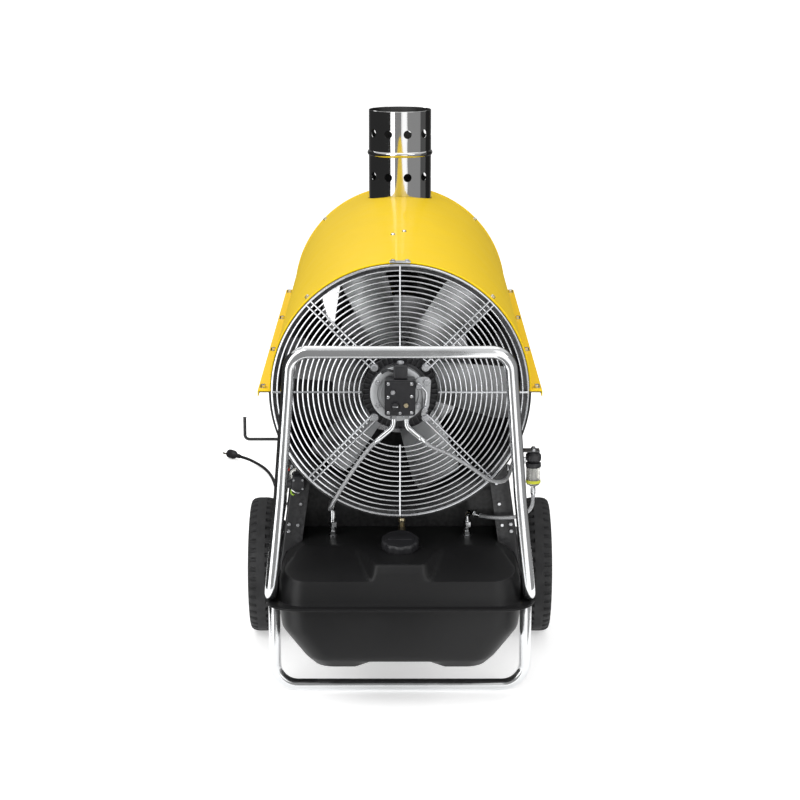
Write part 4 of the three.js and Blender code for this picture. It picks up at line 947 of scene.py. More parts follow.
def fan():
    build = Build()
    for k in range(6):
        fan_blade(build, 2 * math.pi * k / 6 - 0.17)
    hub = [
        (8.4, 124), (34, 124), (38, 128), (38, 168), (36, 171), (28, 176), (14, 176), (13, 172),
        (8.4, 172),
    ]
    build.lathe(hub, "y", ON_AXIS, 64)
    for angle in range(30, 360, 60):
        place = on_circle(26, angle, 124)
        build.bolt(place, "y", 7.0, 3.6, outwards=-1, look=1, washer=False)
    build.make("fan_wheel", [BLADE, WIRE], "fan_metal", ["fan_rotor"], "fan")


# ---------------------------------------------------------------- fuel pump
PORT_Y = -42.9  # of the pump's two pipes
SIDES = ((-1, "left"), (1, "right"))


def pump():
    build = Build()
    flange = [
        (34, -23.6), (35, -21.5), (40, -21.5), (41, -23.6), (52.6, -23.6), (55, -22.4),
        (55.6, -20), (55.6, -7.6),
    ]
    build.solid(flange, "y", (-4, 0, AXIS), 96)
    for angle in (150, 210, 330):
        build.bolt(on_circle(46, angle, -23.6, -4), "y", 8.0, 5.0, outwards=-1, look=1)
    build.make("pump_adapter", [CAST, WIRE], "cast_aluminium", ["pump_flange"])

    build = Build()
    half = 30.5
    outline = rounded_rectangle(-half, half, AXIS - 36, AXIS + 36, 5)
    build.prism(outline, "y", -61.0, -23.9, chamfer=1.2)
    lid = rounded_rectangle(-half + 3, half - 3, AXIS - 33, AXIS + 33, 4)
    build.prism(lid, "y", -62.6, -60.5, chamfer=0.7)
    screw = [(2.2, -65.2), (3.2, -64.4), (3.4, -62.4)]
    for x, z in ((-23, 29), (23, 29), (-23, -29), (23, -29), (0, -30), (-23, 2), (23, 4)):
        build.solid(screw, "y", (x, 0, AXIS + z), 16, look=1)
    port = [(6.6, -68.9), (7.8, -67.4), (9, -62.6), (9, -60)]
    build.solid(port, "y", (-9, 0, AXIS - 16), 28)
    build.box((-14, -4), (-69.6, -68.6), (AXIS - 17, AXIS - 15), 0.4, look=1)
    gauge = [(4.6, -66.5), (5.2, -65.5), (5.2, -62)]
    build.solid(gauge, "y", (12, 0, AXIS - 14), 6, look=2)
    build.solid(gauge, "y", (-14, 0, AXIS + 12), 6, look=1)
    build.make("gear_pump", [PUMP, WIRE, BRASS], "pump_body", ["fuel_pump"])

    build = Build()
    build.box((-13, 15), (-54.9, -26.9), (692.4, 720), 3)
    build.box((-9, 11), (-56, -54.4), (697, 716), 1)
    x, y = 1, -41
    nut = [(x + a, y + b) for a, b in hexagon(6.72)]
    build.prism(nut, "z", 719.8, 726.4, chamfer=0.8, look=1)
    build.solid([(2.6, 726), (2.6, 727.2)], "z", (x, y, 0), 14, look=1)
    lead = [(-13, -34, 704), (-24, -32, 706), (-34, -24, 700), (-38, -14, 690), (-40, -7, 684)]
    build.tube(smooth_path(lead, 24), 2.6, 10)
    build.make("valve_coil", [PLASTIC, WIRE], "black_plastic", ["pump_coil"])

    build = Build()
    outline = [
        (30.8, 30), (38, 35), (49, 36), (57, 34), (61.6, 28), (60.4, 14), (59.8, 0), (58.6, -12),
        (57.8, -22), (53, -34), (49.8, -42), (41.8, -42), (44, -30), (45.8, -14), (44.6, 2),
        (42.8, 12), (30.8, 14),
    ]
    build.prism([(x, AXIS + z) for x, z in outline], "y", -32.7, -24.1, chamfer=1.2)
    build.bolt((52, -32.7, AXIS + 26), "y", 11.0, 6.0, outwards=-1, look=1)
    lever = [(33, -38, AXIS + 20), (40, -39, AXIS + 19), (52, -38, AXIS + 6), (50, -36, AXIS - 20)]
    build.tube(smooth_path(lever, 20), 2.2, 10, look=1)
    knob = [(5, -46), (6, -44.6), (6, -33)]
    for x, z in ((37, 20), (49, -28)):
        build.solid(knob, "y", (x, 0, AXIS + z), 24, look=1)
    build.make("pump_bracket", [CAST, WIRE], "cast_aluminium", ["regulator_arm"])

    for side, name in SIDES:
        build = Build()
        x, y = side * 12.5, PORT_Y
        path = bent([(x, y, 619.7), (x, y, 594), (x + side * 26, y, 572)], 22, 16)
        build.tube(path, 5.2, 24)
        build.prism([(x + a, y + b) for a, b in hexagon(6.8)], "z", 610, 619.5, chamfer=0.8)
        build.solid([(6.0, 606), (6.0, 610.5)], "z", (x, y, 0), 20)
        build.make(f"pump_pipe_{name}", [CHROME], "chrome", [f"pump_elbow_{name}"])


# ---------------------------------------------------------------- fuel tank
TANK_HALF = 245.0
TANK_REAR = -85.0
TANK_FRONT = 450.0
TANK_CORNER = 55.0
TANK_TOP = 325.0
TANK_BOTTOM = 100.0
FLANGE_HEIGHT = 232.0
FILLER = Vector((0, 18, TANK_TOP + 3))
UNION = (139, 112)  # the right fitting's place; the left one mirrors it
FILLER_FRAME = Matrix.Translation(FILLER) @ Matrix.Rotation(math.radians(13.5), 4, "X")
HOLLOW_REAR = -105
HOLLOW_LEVEL = (277, 0.3308)  # the two hollows' floor at their rear, and its rise
RIDGE_HALF = (42, 0.34)  # half the width of the ridge between them, and how it spreads
CHANNEL = (50, 90)  # where the raised channel under the tank begins and ends to fall, in X


def tank_ring(half, rear, front, corner, height):
    """A rectangle with round corners, with points along its sides too."""
    x, low, high = half - corner, rear + corner, front - corner
    depth = front - rear - 2 * corner
    across_steps, along_steps, corner_steps = 58, 48, 10
    runs = [
        (x, high, 0, across_steps, (-1, 0), 2 * x),
        (-x, high, 90, along_steps, (0, -1), depth),
        (-x, low, 180, across_steps, (1, 0), 2 * x),
        (x, low, 270, along_steps, (0, 1), depth),
    ]
    points = []
    for x, y, start, steps, way, length in runs:
        bend = arc(corner, start, start + 90, corner_steps)
        points += [(x + a, y + b, height) for a, b in bend]
        from_x, from_y, _ = points[-1]
        for k in range(1, steps):
            move = length * k / steps
            points.append((from_x + way[0] * move, from_y + way[1] * move, height))
    return points


def smooth_step(low, high, value):
    share = min(max((value - low) / (high - low), 0.0), 1.0)
    return share * share * (3 - 2 * share)


def eased_levels(levels, steps):
    """Levels joined by straight runs, with the corners between the runs rounded off."""
    rings = []
    for level, after, count in zip(levels, levels[1:], steps):
        for k in range(count):
            rings.append([a + (b - a) * (k / count) for a, b in zip(level, after)])
    rings.append(list(levels[-1]))
    softness, rounds = 0.25, 3
    for _ in range(rounds):
        smoothed = [rings[0]]
        for before, here, after in zip(rings, rings[1:], rings[2:]):
            near = zip(before, here, after)
            smoothed.append([h + softness * ((b + a) / 2 - h) for b, h, a in near])
        rings = [*smoothed, rings[-1]]
    return rings


def shrinking(level, rings_left):
    """Rings from a level to the middle, for a flat end."""
    half, rear, front, corner, height = level
    result = []
    reach = min(half, (front - rear) / 2)
    for k in range(1, rings_left + 1):
        move = (reach - 2) * k / rings_left
        soft = max(corner * (1 - k / rings_left), 1)
        result.append([half - move, rear + move, front - move, soft, height])
    return result


def flange_levels(side):
    """The seam flange, from the joint face outwards and back to the tank's wall."""
    near = FLANGE_HEIGHT + side * 0.15
    far = FLANGE_HEIGHT + side * 2.15
    edge = 0.6
    outer = (271.0, -105.0, 470.0, 67.0)
    inner = (270.4, -104.4, 469.4, 66.4)

    def wall(out):
        return (TANK_HALF + out, TANK_REAR - out, TANK_FRONT + out, TANK_CORNER + out)

    return [
        [*inner, near], [*outer, near + side * edge], [*outer, far - side * edge], [*inner, far],
        [*wall(3), far], [*wall(0.8), far + side * 0.8],
    ]


def upper_half_shape(x, y, z):
    """Lowers the top beside the middle ridge."""
    floor = HOLLOW_LEVEL[0] + (y - HOLLOW_REAR) * HOLLOW_LEVEL[1]
    ridge = RIDGE_HALF[0] + (y - HOLLOW_REAR) * RIDGE_HALF[1]
    share = smooth_step(ridge - 5, ridge + 9, abs(x))
    if z > FLANGE_HEIGHT + 12:
        z = z - share * max(z - floor, 0.0)
    return (x, y, z)


def tank_upper_half():
    wall = [
        [TANK_HALF, TANK_REAR, TANK_FRONT, TANK_CORNER, FLANGE_HEIGHT + 5],
        [TANK_HALF - 2, TANK_REAR + 2, TANK_FRONT - 2, TANK_CORNER, 276],
        [TANK_HALF - 12, TANK_REAR + 7, TANK_FRONT - 12, TANK_CORNER - 6, 301],
        [TANK_HALF - 33, TANK_REAR + 14, TANK_FRONT - 34, TANK_CORNER - 12, 317],
        [TANK_HALF - 50, TANK_REAR + 100, TANK_FRONT - 55, TANK_CORNER - 18, TANK_TOP],
    ]
    levels = [*flange_levels(1), *eased_levels(wall, (5, 8, 6, 16))]
    levels += shrinking(levels[-1], 30)
    build = Build()
    build.rings([[upper_half_shape(*p) for p in tank_ring(*level)] for level in levels])
    neck = [(24, -16), (27, -16), (27, 6), (28.2, 6.6), (28.2, 8), (24, 8)]
    collar = [(49, -20), (47, -4.6), (44, -3.4), (31, -3), (30, -6)]
    with build.placed(FILLER_FRAME):
        build.lathe(neck, "z", (0, 0, 0), 48)
        build.solid(collar, "z", (0, 0, 0), 64)
    build.make("tank_top_shell", [TANK], "tank_paint", ["tank_upper_half"], sharp=40)


def lower_half_shape(x, y, z):
    """Raises the middle of the bottom to a channel."""
    inner, outer = CHANNEL
    share = 1 - min(max((abs(x) - inner) / (outer - inner), 0.0), 1.0)
    if z < TANK_BOTTOM + 40:
        z = z + share * max(TANK_BOTTOM + 14 - z, 0.0)
    return (x, y, z)


def tank_lower_half():
    wall = [
        [TANK_HALF, TANK_REAR, TANK_FRONT, TANK_CORNER, FLANGE_HEIGHT - 5],
        [TANK_HALF - 6, TANK_REAR + 3, TANK_FRONT - 4, TANK_CORNER, TANK_BOTTOM + 77],
        [TANK_HALF - 53, TANK_REAR + 7, TANK_FRONT - 24, TANK_CORNER - 8, TANK_BOTTOM + 19],
        [TANK_HALF - 71, TANK_REAR + 22, TANK_FRONT - 45, TANK_CORNER - 14, TANK_BOTTOM],
    ]
    levels = [*flange_levels(-1), *eased_levels(wall, (6, 12, 8))]
    levels += shrinking(levels[-1], 16)
    build = Build()
    build.rings([[lower_half_shape(*p) for p in tank_ring(*level)] for level in levels])
    build.solid([(8, 104), (9, 105), (9, 124)], "z", (0, 380, 0), 6)
    build.make("tank_bottom_shell", [TANK], "tank_paint", ["tank_lower_half"], sharp=40)


def filler_cap():
    lobes = 10
    steps = 120
    # Radius, height and depth of the grip's waves.
    profile = (
        (28.8, 12, 0), (28.8, 0.8, 0), (29.5, 0, 0), (37, 0, 1.0), (38.4, 0.8, 2.4),
        (38.9, 3, 3.0), (38.9, 13, 3.0), (38.2, 15.6, 2.8), (36.6, 17.4, 2.2), (34.4, 18.4, 1.2),
        (32.6, 18.6, 0.2), (31.6, 18.4, 0), (31.0, 17.6, 0), (30.2, 17.4, 0), (8, 17.6, 0),
    )
    rings = []
    for radius, height, depth in profile:
        ring = []
        for k in range(steps):
            angle = 2 * math.pi * k / steps
            wave = 0.5 - 0.5 * math.cos(lobes * angle)
            r = radius - depth * (1 - wave**0.6)
            ring.append((r * math.cos(angle), r * math.sin(angle), height))
        rings.append(ring)
    build = Build()
    build.rings(rings)
    outline = rounded_rectangle(-25, 25, -3.6, 3.6, 3.4)
    build.prism(outline, "z", 15, 18.8, chamfer=1.2)
    build.moved(FILLER_FRAME @ Matrix.Translation((0, 0, 1)))
    build.make("fuel_cap_cover", [PLASTIC], "black_plastic", ["filler_cap"], "fuel_cap", 45)


def thread(build, root, crest, level, place):
    """One turn of a thread, as a ring."""
    build.lathe([(root, level), (crest, level + 0.7), (root, level + 1.4)], "z", place, 24)


def fitting_stack(build, x, y, base, height):
    """Adapter, union nut and ferrule, standing on the tank."""
    place = (x, y, 0)
    build.solid([(11, base), (11, base + 1.4)], "z", place, 28)
    build.prism(hexagon(9.2), "z", base + 1.4, base + 10, chamfer=0.8, place=place)
    build.solid([(6.2, base + 9), (6.2, base + 19)], "z", place, 24)
    for k in range(4):
        thread(build, 5.8, 6.8, base + 11 + 2 * k, place)
    build.prism(hexagon(9.6, 0.3), "z", base + 18, base + 30, chamfer=1.0, place=place)
    ferrule = [
        (7.2, base + 29), (7.2, base + 33), (6, base + 34), (6, base + height - 1),
        (5.4, base + height),
    ]
    build.solid(ferrule, "z", place, 28)


def tank_fittings():
    base = TANK_TOP + 0.3
    x, y = UNION
    build = Build()
    fitting_stack(build, -x, y, base, 54)
    build.make("outlet_union", [CHROME], "chrome", ["tank_outlet_fitting"])
    build = Build()
    fitting_stack(build, x, y, base, 34)
    pipe = bent([(x, y, base + 30), (x, y, 377), (156, 90, 377)], 11, 12)
    build.tube(pipe, 5.0, 20)
    end = pipe[-1]
    way = (end - pipe[-2]).normalized()
    build.tube([end - way * 11, end - way * 2], 7.4, 6)
    build.make("return_union", [CHROME], "chrome", ["tank_return_fitting"])
    build = Build()
    place = (4, 141, 0)
    build.prism(hexagon(7.4), "z", base, base + 12, chamfer=0.8, place=place)
    body = [
        (5, base + 11), (5, base + 19), (7.2, base + 20), (7.6, base + 22), (7.6, base + 27),
        (6.4, base + 29.4), (2.4, base + 30), (2.4, base + 27),
    ]
    build.solid(body, "z", place, 32)
    for k in range(3):
        thread(build, 4.8, 5.7, base + 12.5 + 2 * k, place)
    build.make("breather", [BRASS], "brass", ["tank_vent"])


# ---------------------------------------------------------------- handle, foot tube and wheels
TUBE = 12.5
RUN_HEIGHT = 246.95
FOOT_HEIGHT = 217.05
TUBE_X = 260
WHEEL_X = 306.0
AXLE = (477.0, 150.0)
ON_AXLE = (0, *AXLE)
WHEEL_HALF = 29.0
# One half of the tyre's section: radius, place from the middle and depth of the lugs.
TREAD = [
    (96, 23, 0), (98, 26, 0), (104, 28.4, 0), (112, 29, 0), (128, 28.6, 0), (138, 27.6, 0.35),
    (143.5, 25.8, 1), (147.4, 21, 1), (149.2, 15, 1), (149.7, 10.6, 0.9), (149.9, 9.6, 0),
    (150, 4, 0),
]


def mirrored_path(half):
    return [*half, *[(-x, y, z) for x, y, z in reversed(half)]]


def frame_tubes():
    routes = (
        ("push_handle", "handle_tube", 38, [
            (TUBE_X, 66, RUN_HEIGHT), (TUBE_X, -66, RUN_HEIGHT), (236, -105, 470), (211, -157, 768),
        ]),
        ("rest_foot", "foot_tube", 48, [
            (TUBE_X, 505, FOOT_HEIGHT), (TUBE_X, 71, FOOT_HEIGHT), (TUBE_X, 71, TUBE),
        ]),
    )
    for name, node, bend, half in routes:
        build = Build()
        build.tube(bent(mirrored_path(half), bend, 14), TUBE - 0.1, 28)
        build.make(name, [CHROME], "chrome", [node])
    ends = Build()
    cap = [(9, 3), (12, 1.6), (12.3, 0), (12.3, -2)]
    rivet = [(6, 0), (5.4, 3), (3, 4.4), (0, 4.8)]
    for x in (-TUBE_X, TUBE_X):
        for y, z in ((66, RUN_HEIGHT), (505, FOOT_HEIGHT)):
            ends.solid([(r, y + p) for r, p in cap], "y", (x, 0, z), 28)
        for y in (-30, 38):
            ends.solid(rivet, "z", (x, y, RUN_HEIGHT + TUBE - 1.2), 20, look=1)
            ends.bolt((x, y, FLANGE_HEIGHT - 2.4), "z", 10, 7, outwards=-1, look=1)
        for y in (150, 300, 430):
            ends.bolt((x, y, FLANGE_HEIGHT + 2.3), "z", 10, 6, look=1)
    ends.make("tube_ends", [PLASTIC, WIRE], "black_plastic")


def axle_parts():
    build = Build()
    rod = [(8.4, -322), (10, -320.4), (10, 320.4), (8.4, 322)]
    build.solid(rod, "x", ON_AXLE, 36)
    build.make("wheel_axle", [SPIGOT], "stainless", ["axle"])
    y, z = AXLE
    outline = [(y + a, z + b) for a, b in arc(24, 180, 360, 24)]
    outline += [(y + 24, 204.2), (y - 24, 204.2)]
    for side, name in SIDES:
        build = Build()
        low, high = side * TUBE_X - 3, side * TUBE_X + 3
        build.prism(outline, "x", low, high, chamfer=0.6)
        plate = build.make(
            f"axle_plate_{name}", [BLACK], "black_paint", [f"axle_bracket_{name}"]
        )
        carve_round(plate, 10.4, low - 5, high + 5, "x", ON_AXLE, 40)


def tyre(side, name):
    lugs, per_lug, depth = 44, 8, 5.0
    profile = [(radius, -x, deep, 0) for radius, x, deep in TREAD]
    profile += [(radius, x, deep, 1) for radius, x, deep in reversed(TREAD)]
    rings = []
    for k in range(lugs * per_lug):
        angle = 2 * math.pi * k / (lugs * per_lug)
        phases = [(k / per_lug + shift) % 1.0 for shift in (0.0, 0.5)]
        cuts = [1 - smooth_step(0.14, 0.24, abs(phase - 0.5)) for phase in phases]
        ring = []
        for radius, x, deep, row in profile:
            r = radius - depth * deep * cuts[row]
            ring.append((x, r * math.cos(angle), r * math.sin(angle)))
        rings.append(ring)
    build = Build()
    build.rings(rings, along=True)
    build.moved(Matrix.Translation((side * WHEEL_X, *AXLE)))
    body = f"wheel_{name}"
    build.make(f"tyre_{name}", [TYRE], "tyre_rubber", [f"wheel_tyre_{name}"], body, 40)


def rim(side, name):
    half = WHEEL_HALF
    body = f"wheel_{name}"
    build = Build()
    profile = [
        (10.4, -half + 1), (23, -half + 1), (24, -half + 2), (26, -8), (29, -5), (76, -5),
        (80, -8), (84, -19), (93, -half + 8), (95.6, -half + 8.4), (95.6, half - 8.4),
        (93, half - 8), (84, 19), (80, 8), (76, 5), (29, 5), (26, 8), (24, half - 11),
        (23, half - 10), (10.4, half - 10),
    ]
    build.lathe(profile, "x", (0, 0, 0), 96)
    place = Matrix.Translation((side * WHEEL_X, *AXLE))
    if side < 0:
        place = place @ Matrix.Rotation(math.pi, 4, "Z")
    build.moved(place)
    disc = build.make(f"rim_{name}", [PLASTIC], "black_plastic", [f"wheel_rim_{name}"], body)
    window = []
    for radius, spread, count, way in ((71, 20, 9, 1), (38, 11, 7, -1)):
        for j in range(count):
            a = way * math.radians(2 * spread * (j / (count - 1) - 0.5))
            window.append((radius * math.cos(a), radius * math.sin(a)))
    holes = Build()
    for turn in turned(5, "X"):
        with holes.placed(turn):
            holes.prism(window, "x", -30, 30)
    holes.moved(place)
    carve(disc, holes)

    build = Build()
    for turn in turned(5, "X", shift=0.5):
        with build.placed(turn):
            build.box((4, 12), (27, 82), (-2, 2), 1.2)
    cap = [
        (0, 28.5), (10, 28.3), (17, 27.2), (20, 25.6), (22.4, 22.4), (23.8, 20.6), (23.8, 19.3),
    ]
    build.solid(cap, "x", (0, 0, 0), 56)
    build.moved(place)
    build.make(f"hub_{name}", [PLASTIC], "black_plastic", [f"hub_cap_{name}"], body)


# ---------------------------------------------------------------- saddle
SADDLE_FOOT = 234.45
SADDLE_TOP = 500
SADDLE_FACE = (254, 217)  # half the width over the panels, at their foot and at their top
LEAN = math.atan2(SADDLE_FACE[0] - SADDLE_FACE[1], SADDLE_TOP - SADDLE_FOOT)


def saddle_face(height):
    return SADDLE_FACE[0] - (height - SADDLE_FOOT) * math.tan(LEAN)


def channel_outline():
    """The panel's section: a sheet with both long ends folded in, as inset and place."""
    turns = [math.radians(15 * k) for k in range(7)]
    quarter = [(math.sin(a), math.cos(a)) for a in turns]
    rear, front, outer, inner = 79.5, 555.5, 4.5, 2
    return [
        (40.0, 75.0),
        *[(outer - outer * s, rear - outer * c) for s, c in quarter],
        *[(outer - outer * c, front + outer * s) for s, c in quarter],
        (40.0, 560.0), (40.0, 557.5),
        *[(outer - inner * s, front + inner * c) for s, c in quarter],
        *[(outer - inner * c, rear - inner * s) for s, c in quarter],
        (40.0, 77.5),
    ]


def saddle_panel(side, name):
    section = channel_outline()
    rings = []
    for z in (SADDLE_FOOT, 290, 330, 380, 440, SADDLE_TOP):
        rings.append([(side * (saddle_face(z) - inset), y, z) for inset, y in section])
    build = Build()
    build.rings(rings)
    node = f"saddle_panel_{name}"
    panel = build.make(f"saddle_sheet_{name}", [BLACK], "black_paint", [node])
    tank = Build()
    gap = 0.8
    levels = [
        [TANK_HALF + gap, TANK_REAR - gap, TANK_FRONT + gap, TANK_CORNER, 230],
        [TANK_HALF - 2 + gap, TANK_REAR, TANK_FRONT, TANK_CORNER, 277],
        [TANK_HALF - 12 + gap, TANK_REAR, TANK_FRONT - 12, TANK_CORNER, 301],
        [TANK_HALF - 50 + gap, TANK_REAR, TANK_FRONT - 55, TANK_CORNER - 18, 326],
    ]
    tank.rings([tank_ring(*level) for level in levels])
    carve(panel, tank)
    carve_round(panel, CASING_RADIUS + gap, -5, 700, "y", ON_AXIS, 160)

    bolts = Build()
    for inset, z in ((27, 358), (27, 403), (27, 447), (9, 360), (10, 345)):
        place = (side * (saddle_face(z) - inset), 75, z)
        bolts.bolt(place, "y", 7.0, 4.5, outwards=-1, washer=False)
    for y in (110, 240, 420, 525):
        place = Matrix.Translation((side * saddle_face(472), y, 472))
        with bolts.placed(place @ Matrix.Rotation(0 if side > 0 else math.pi, 4, "Z")):
            bolts.bolt((0, 0, 0), "x", 9.0, 5.0)
    bolts.make(f"saddle_bolts_{name}", [WIRE], "zinc_wire")


# ---------------------------------------------------------------- controls on the left panel
# On the plate, X points out of it, Y to the rear and Z up along it.
PLATE = Matrix.Translation((-saddle_face(392), 330, 392))
PLATE = PLATE @ Matrix.Rotation(math.pi, 4, "Z") @ Matrix.Rotation(-LEAN, 4, "Y")
FACE = 3.6
ROW = 8  # how far the row of controls is above the plate's middle


def controls():
    build = Build()
    outline = rounded_rectangle(-85, 85, -48, 48, 7, 6)
    build.prism(outline, "x", 0.3, 3.3, chamfer=0.8)
    head = [(3.2, 0), (3.2, 1.2), (2.2, 2.2), (0, 2.4)]
    for y in (-77, 77):
        for z in (-40, 40):
            build.solid(head, "x", (3.3, y, z), 20, look=1)
    edge = rounded_rectangle(-72, 72, -24, 24, 5, 6)
    inner = rounded_rectangle(-70.6, 70.6, -22.6, 22.6, 4, 6)
    rings = []
    for shape, level in ((edge, 3.2), (edge, 4.0), (inner, 4.0), (inner, 3.2)):
        rings.append([(level, a, b + ROW) for a, b in shape])
    build.rings(rings, along=True)
    build.moved(PLATE)
    build.make("switch_plate", [PLASTIC, WIRE], "black_plastic", ["control_plate"])

    build = Build()
    skirt = [(19, 0), (19, 2.6), (18, 4.6), (16.6, 5.2)]
    build.solid(skirt, "x", (FACE, 48, ROW), 56)
    grip = rounded_rectangle(-5, 5, -17, 17, 4.6, 8)
    build.prism(grip, "x", 8, 19.6, chamfer=1.4, place=(0, 48, ROW))
    build.box((19.3, 19.9), (47.3, 48.7), (17, 24), 0.3, look=1)
    build.moved(PLATE)
    build.make("switch_handle", [PLASTIC, WIRE], "black_plastic", ["main_switch"], "switch_knob")

    build = Build()
    ring = [(8.7, 0), (12.5, 0), (12.5, 3.6), (11.6, 5), (9.6, 5), (8.7, 4.2)]
    build.lathe(ring, "x", (FACE, -2, ROW), 48)
    build.moved(PLATE)
    build.make("reset_ring", [PLASTIC], "black_plastic", ["reset_bezel"])

    build = Build()
    push = [(8, 0), (8, 5.4), (7.2, 6.6), (5.6, 7), (3, 6.7), (0, 6.6)]
    build.solid(push, "x", (FACE + 4, -2, ROW), 40)
    build.moved(PLATE)
    build.make("reset_push", [RED], "red_plastic", ["reset_button"], "reset")

    build = Build()
    place = (FACE, -34, ROW)
    build.solid([(9, 0), (9, 2.2), (8.2, 3), (7.2, 3)], "x", place, 40, look=1)
    turns = [k * math.pi / 16 for k in range(8)]
    dome = [(7 * math.cos(a), 3.4 + 4.6 * math.sin(a)) for a in turns]
    build.solid([(7, 2.9), *dome, (0, 8)], "x", place, 40)
    build.moved(PLATE)
    build.make("lamp_lens", [LENS, PLASTIC], "clear_plastic", ["pilot_lamp"])

    build = Build()
    y = -64
    socket = [
        (13, 0), (13, 10), (15, 10.4), (15, 13.4), (14.4, 14), (10.6, 14), (10.2, 13), (10.2, 4),
    ]
    build.solid(socket, "x", (FACE, y, ROW), 48)
    for angle in (90, 210, 330):
        a = math.radians(angle)
        place = (FACE, y + 5 * math.cos(a), ROW + 5 * math.sin(a))
        build.solid([(1.5, 3.9), (1.5, 11), (0, 11.6)], "x", place, 14, look=1)
    for turn in turned(24, "X", (FACE, y, ROW)):
        with build.placed(turn):
            build.box((1, 9), (12.6, 13.6), (-0.7, 0.7), 0.3)
    build.moved(PLATE)
    build.make("stat_socket", [PLASTIC, BRASS], "black_plastic", ["thermostat_socket"])


# ---------------------------------------------------------------- cable entry and hook
def cable_entry():
    build = Build()
    build.box((-221, -193), (46, 69.7), (438, 466), 3)
    build.box((-219, -195), (43.6, 46.4), (440, 464), 1.6)
    screw = [(0, -1.6), (2.2, -1.6), (2.6, -0.8), (2.6, 0.6)]
    for x, z, look in ((-216, 461, 2), (-198, 461, 2), (-216, 443, 0), (-198, 443, 2)):
        build.solid(screw, "y", (x, 43.6, z), 16, look)
    earth = [(-221, 46.5, 440), (-221, 43, 434), (-218, 42.5, 431), (-215, 46.2, 430)]
    build.tube(smooth_path(earth, 14), 1.5, 8, look=1)
    lead = [(-220, 44, 441), (-214, 40.5, 437.5), (-206, 41, 435), (-203, 46.2, 435)]
    build.tube(smooth_path(lead, 14), 1.4, 8, look=2)
    build.make("entry_box", [PLASTIC, EARTH, WIRE], "black_plastic", ["junction_box"])

    build = Build()
    for lift, y in ((0, 50), (-3, 56)):
        loop = [
            (-221, y, 464), (-222, y - 1, 476 + lift), (-211, y - 2, 484 + lift),
            (-199, y - 1, 479 + lift), (-194, y, 464),
        ]
        build.tube(smooth_path(loop, 24), 1.9, 10)
    build.make("entry_sleeves", [CLEAR], "clear_plastic")

    build = Build()
    x, y, z = -236, 60, 448
    turns = [k * math.pi / 4 for k in range(8)]
    nut = [(8.2 * math.cos(a), 8.2 * math.sin(a)) for a in turns]
    build.prism(nut, "x", -229, -221.3, chamfer=0.8, place=(0, y, z))
    ring = [(7, -234.3), (7.6, -233.6), (7.6, -229)]
    build.solid(ring, "x", (0, y, z), 32)
    turns = [math.pi * (k / 14 - 0.5) for k in range(15)]
    ball = [(8.5 * math.cos(a), 8.5 * math.sin(a)) for a in turns]
    build.solid(ball, "z", (x, y, z), 32)
    sleeve = [(8, 0), (8, 3)]
    for k in range(7):
        along = 4 + 3 * k
        crest = 7.9 - 0.34 * k
        root = crest - 0.9
        sleeve += [(crest, along), (crest, along + 1.6), (root, along + 1.9), (root, along + 2.7)]
    sleeve += [(5.7, 25.4), (5.2, 26)]
    turn = Matrix.Rotation(-math.radians(52), 4, "X")
    with build.placed(Matrix.Translation((x, y, z)) @ turn):
        build.solid(sleeve, "y", (0, 0, 0), 32)
    build.make("entry_gland", [PLASTIC], "black_plastic", ["cable_gland"])


def hook():
    x, y = -314, 52
    build = Build()
    path = bent([(-238, y, 545), (x, y, 545), (x, y, 590.2)], 9, 12)
    build.tube(path, 3.2, 16)
    build.solid([(3.8, 589.6), (4, 590), (3.2, 590.9), (0, 591)], "z", (x, y, 0), 24)
    build.make("cord_hook", [BLACK], "black_paint", ["cable_hook"])
    build = Build()
    for y in (46, 58):
        build.bolt((-238.4, y, 551), "x", 6.0, 3.0, outwards=-1)
    build.make("hook_screws", [WIRE], "zinc_wire")


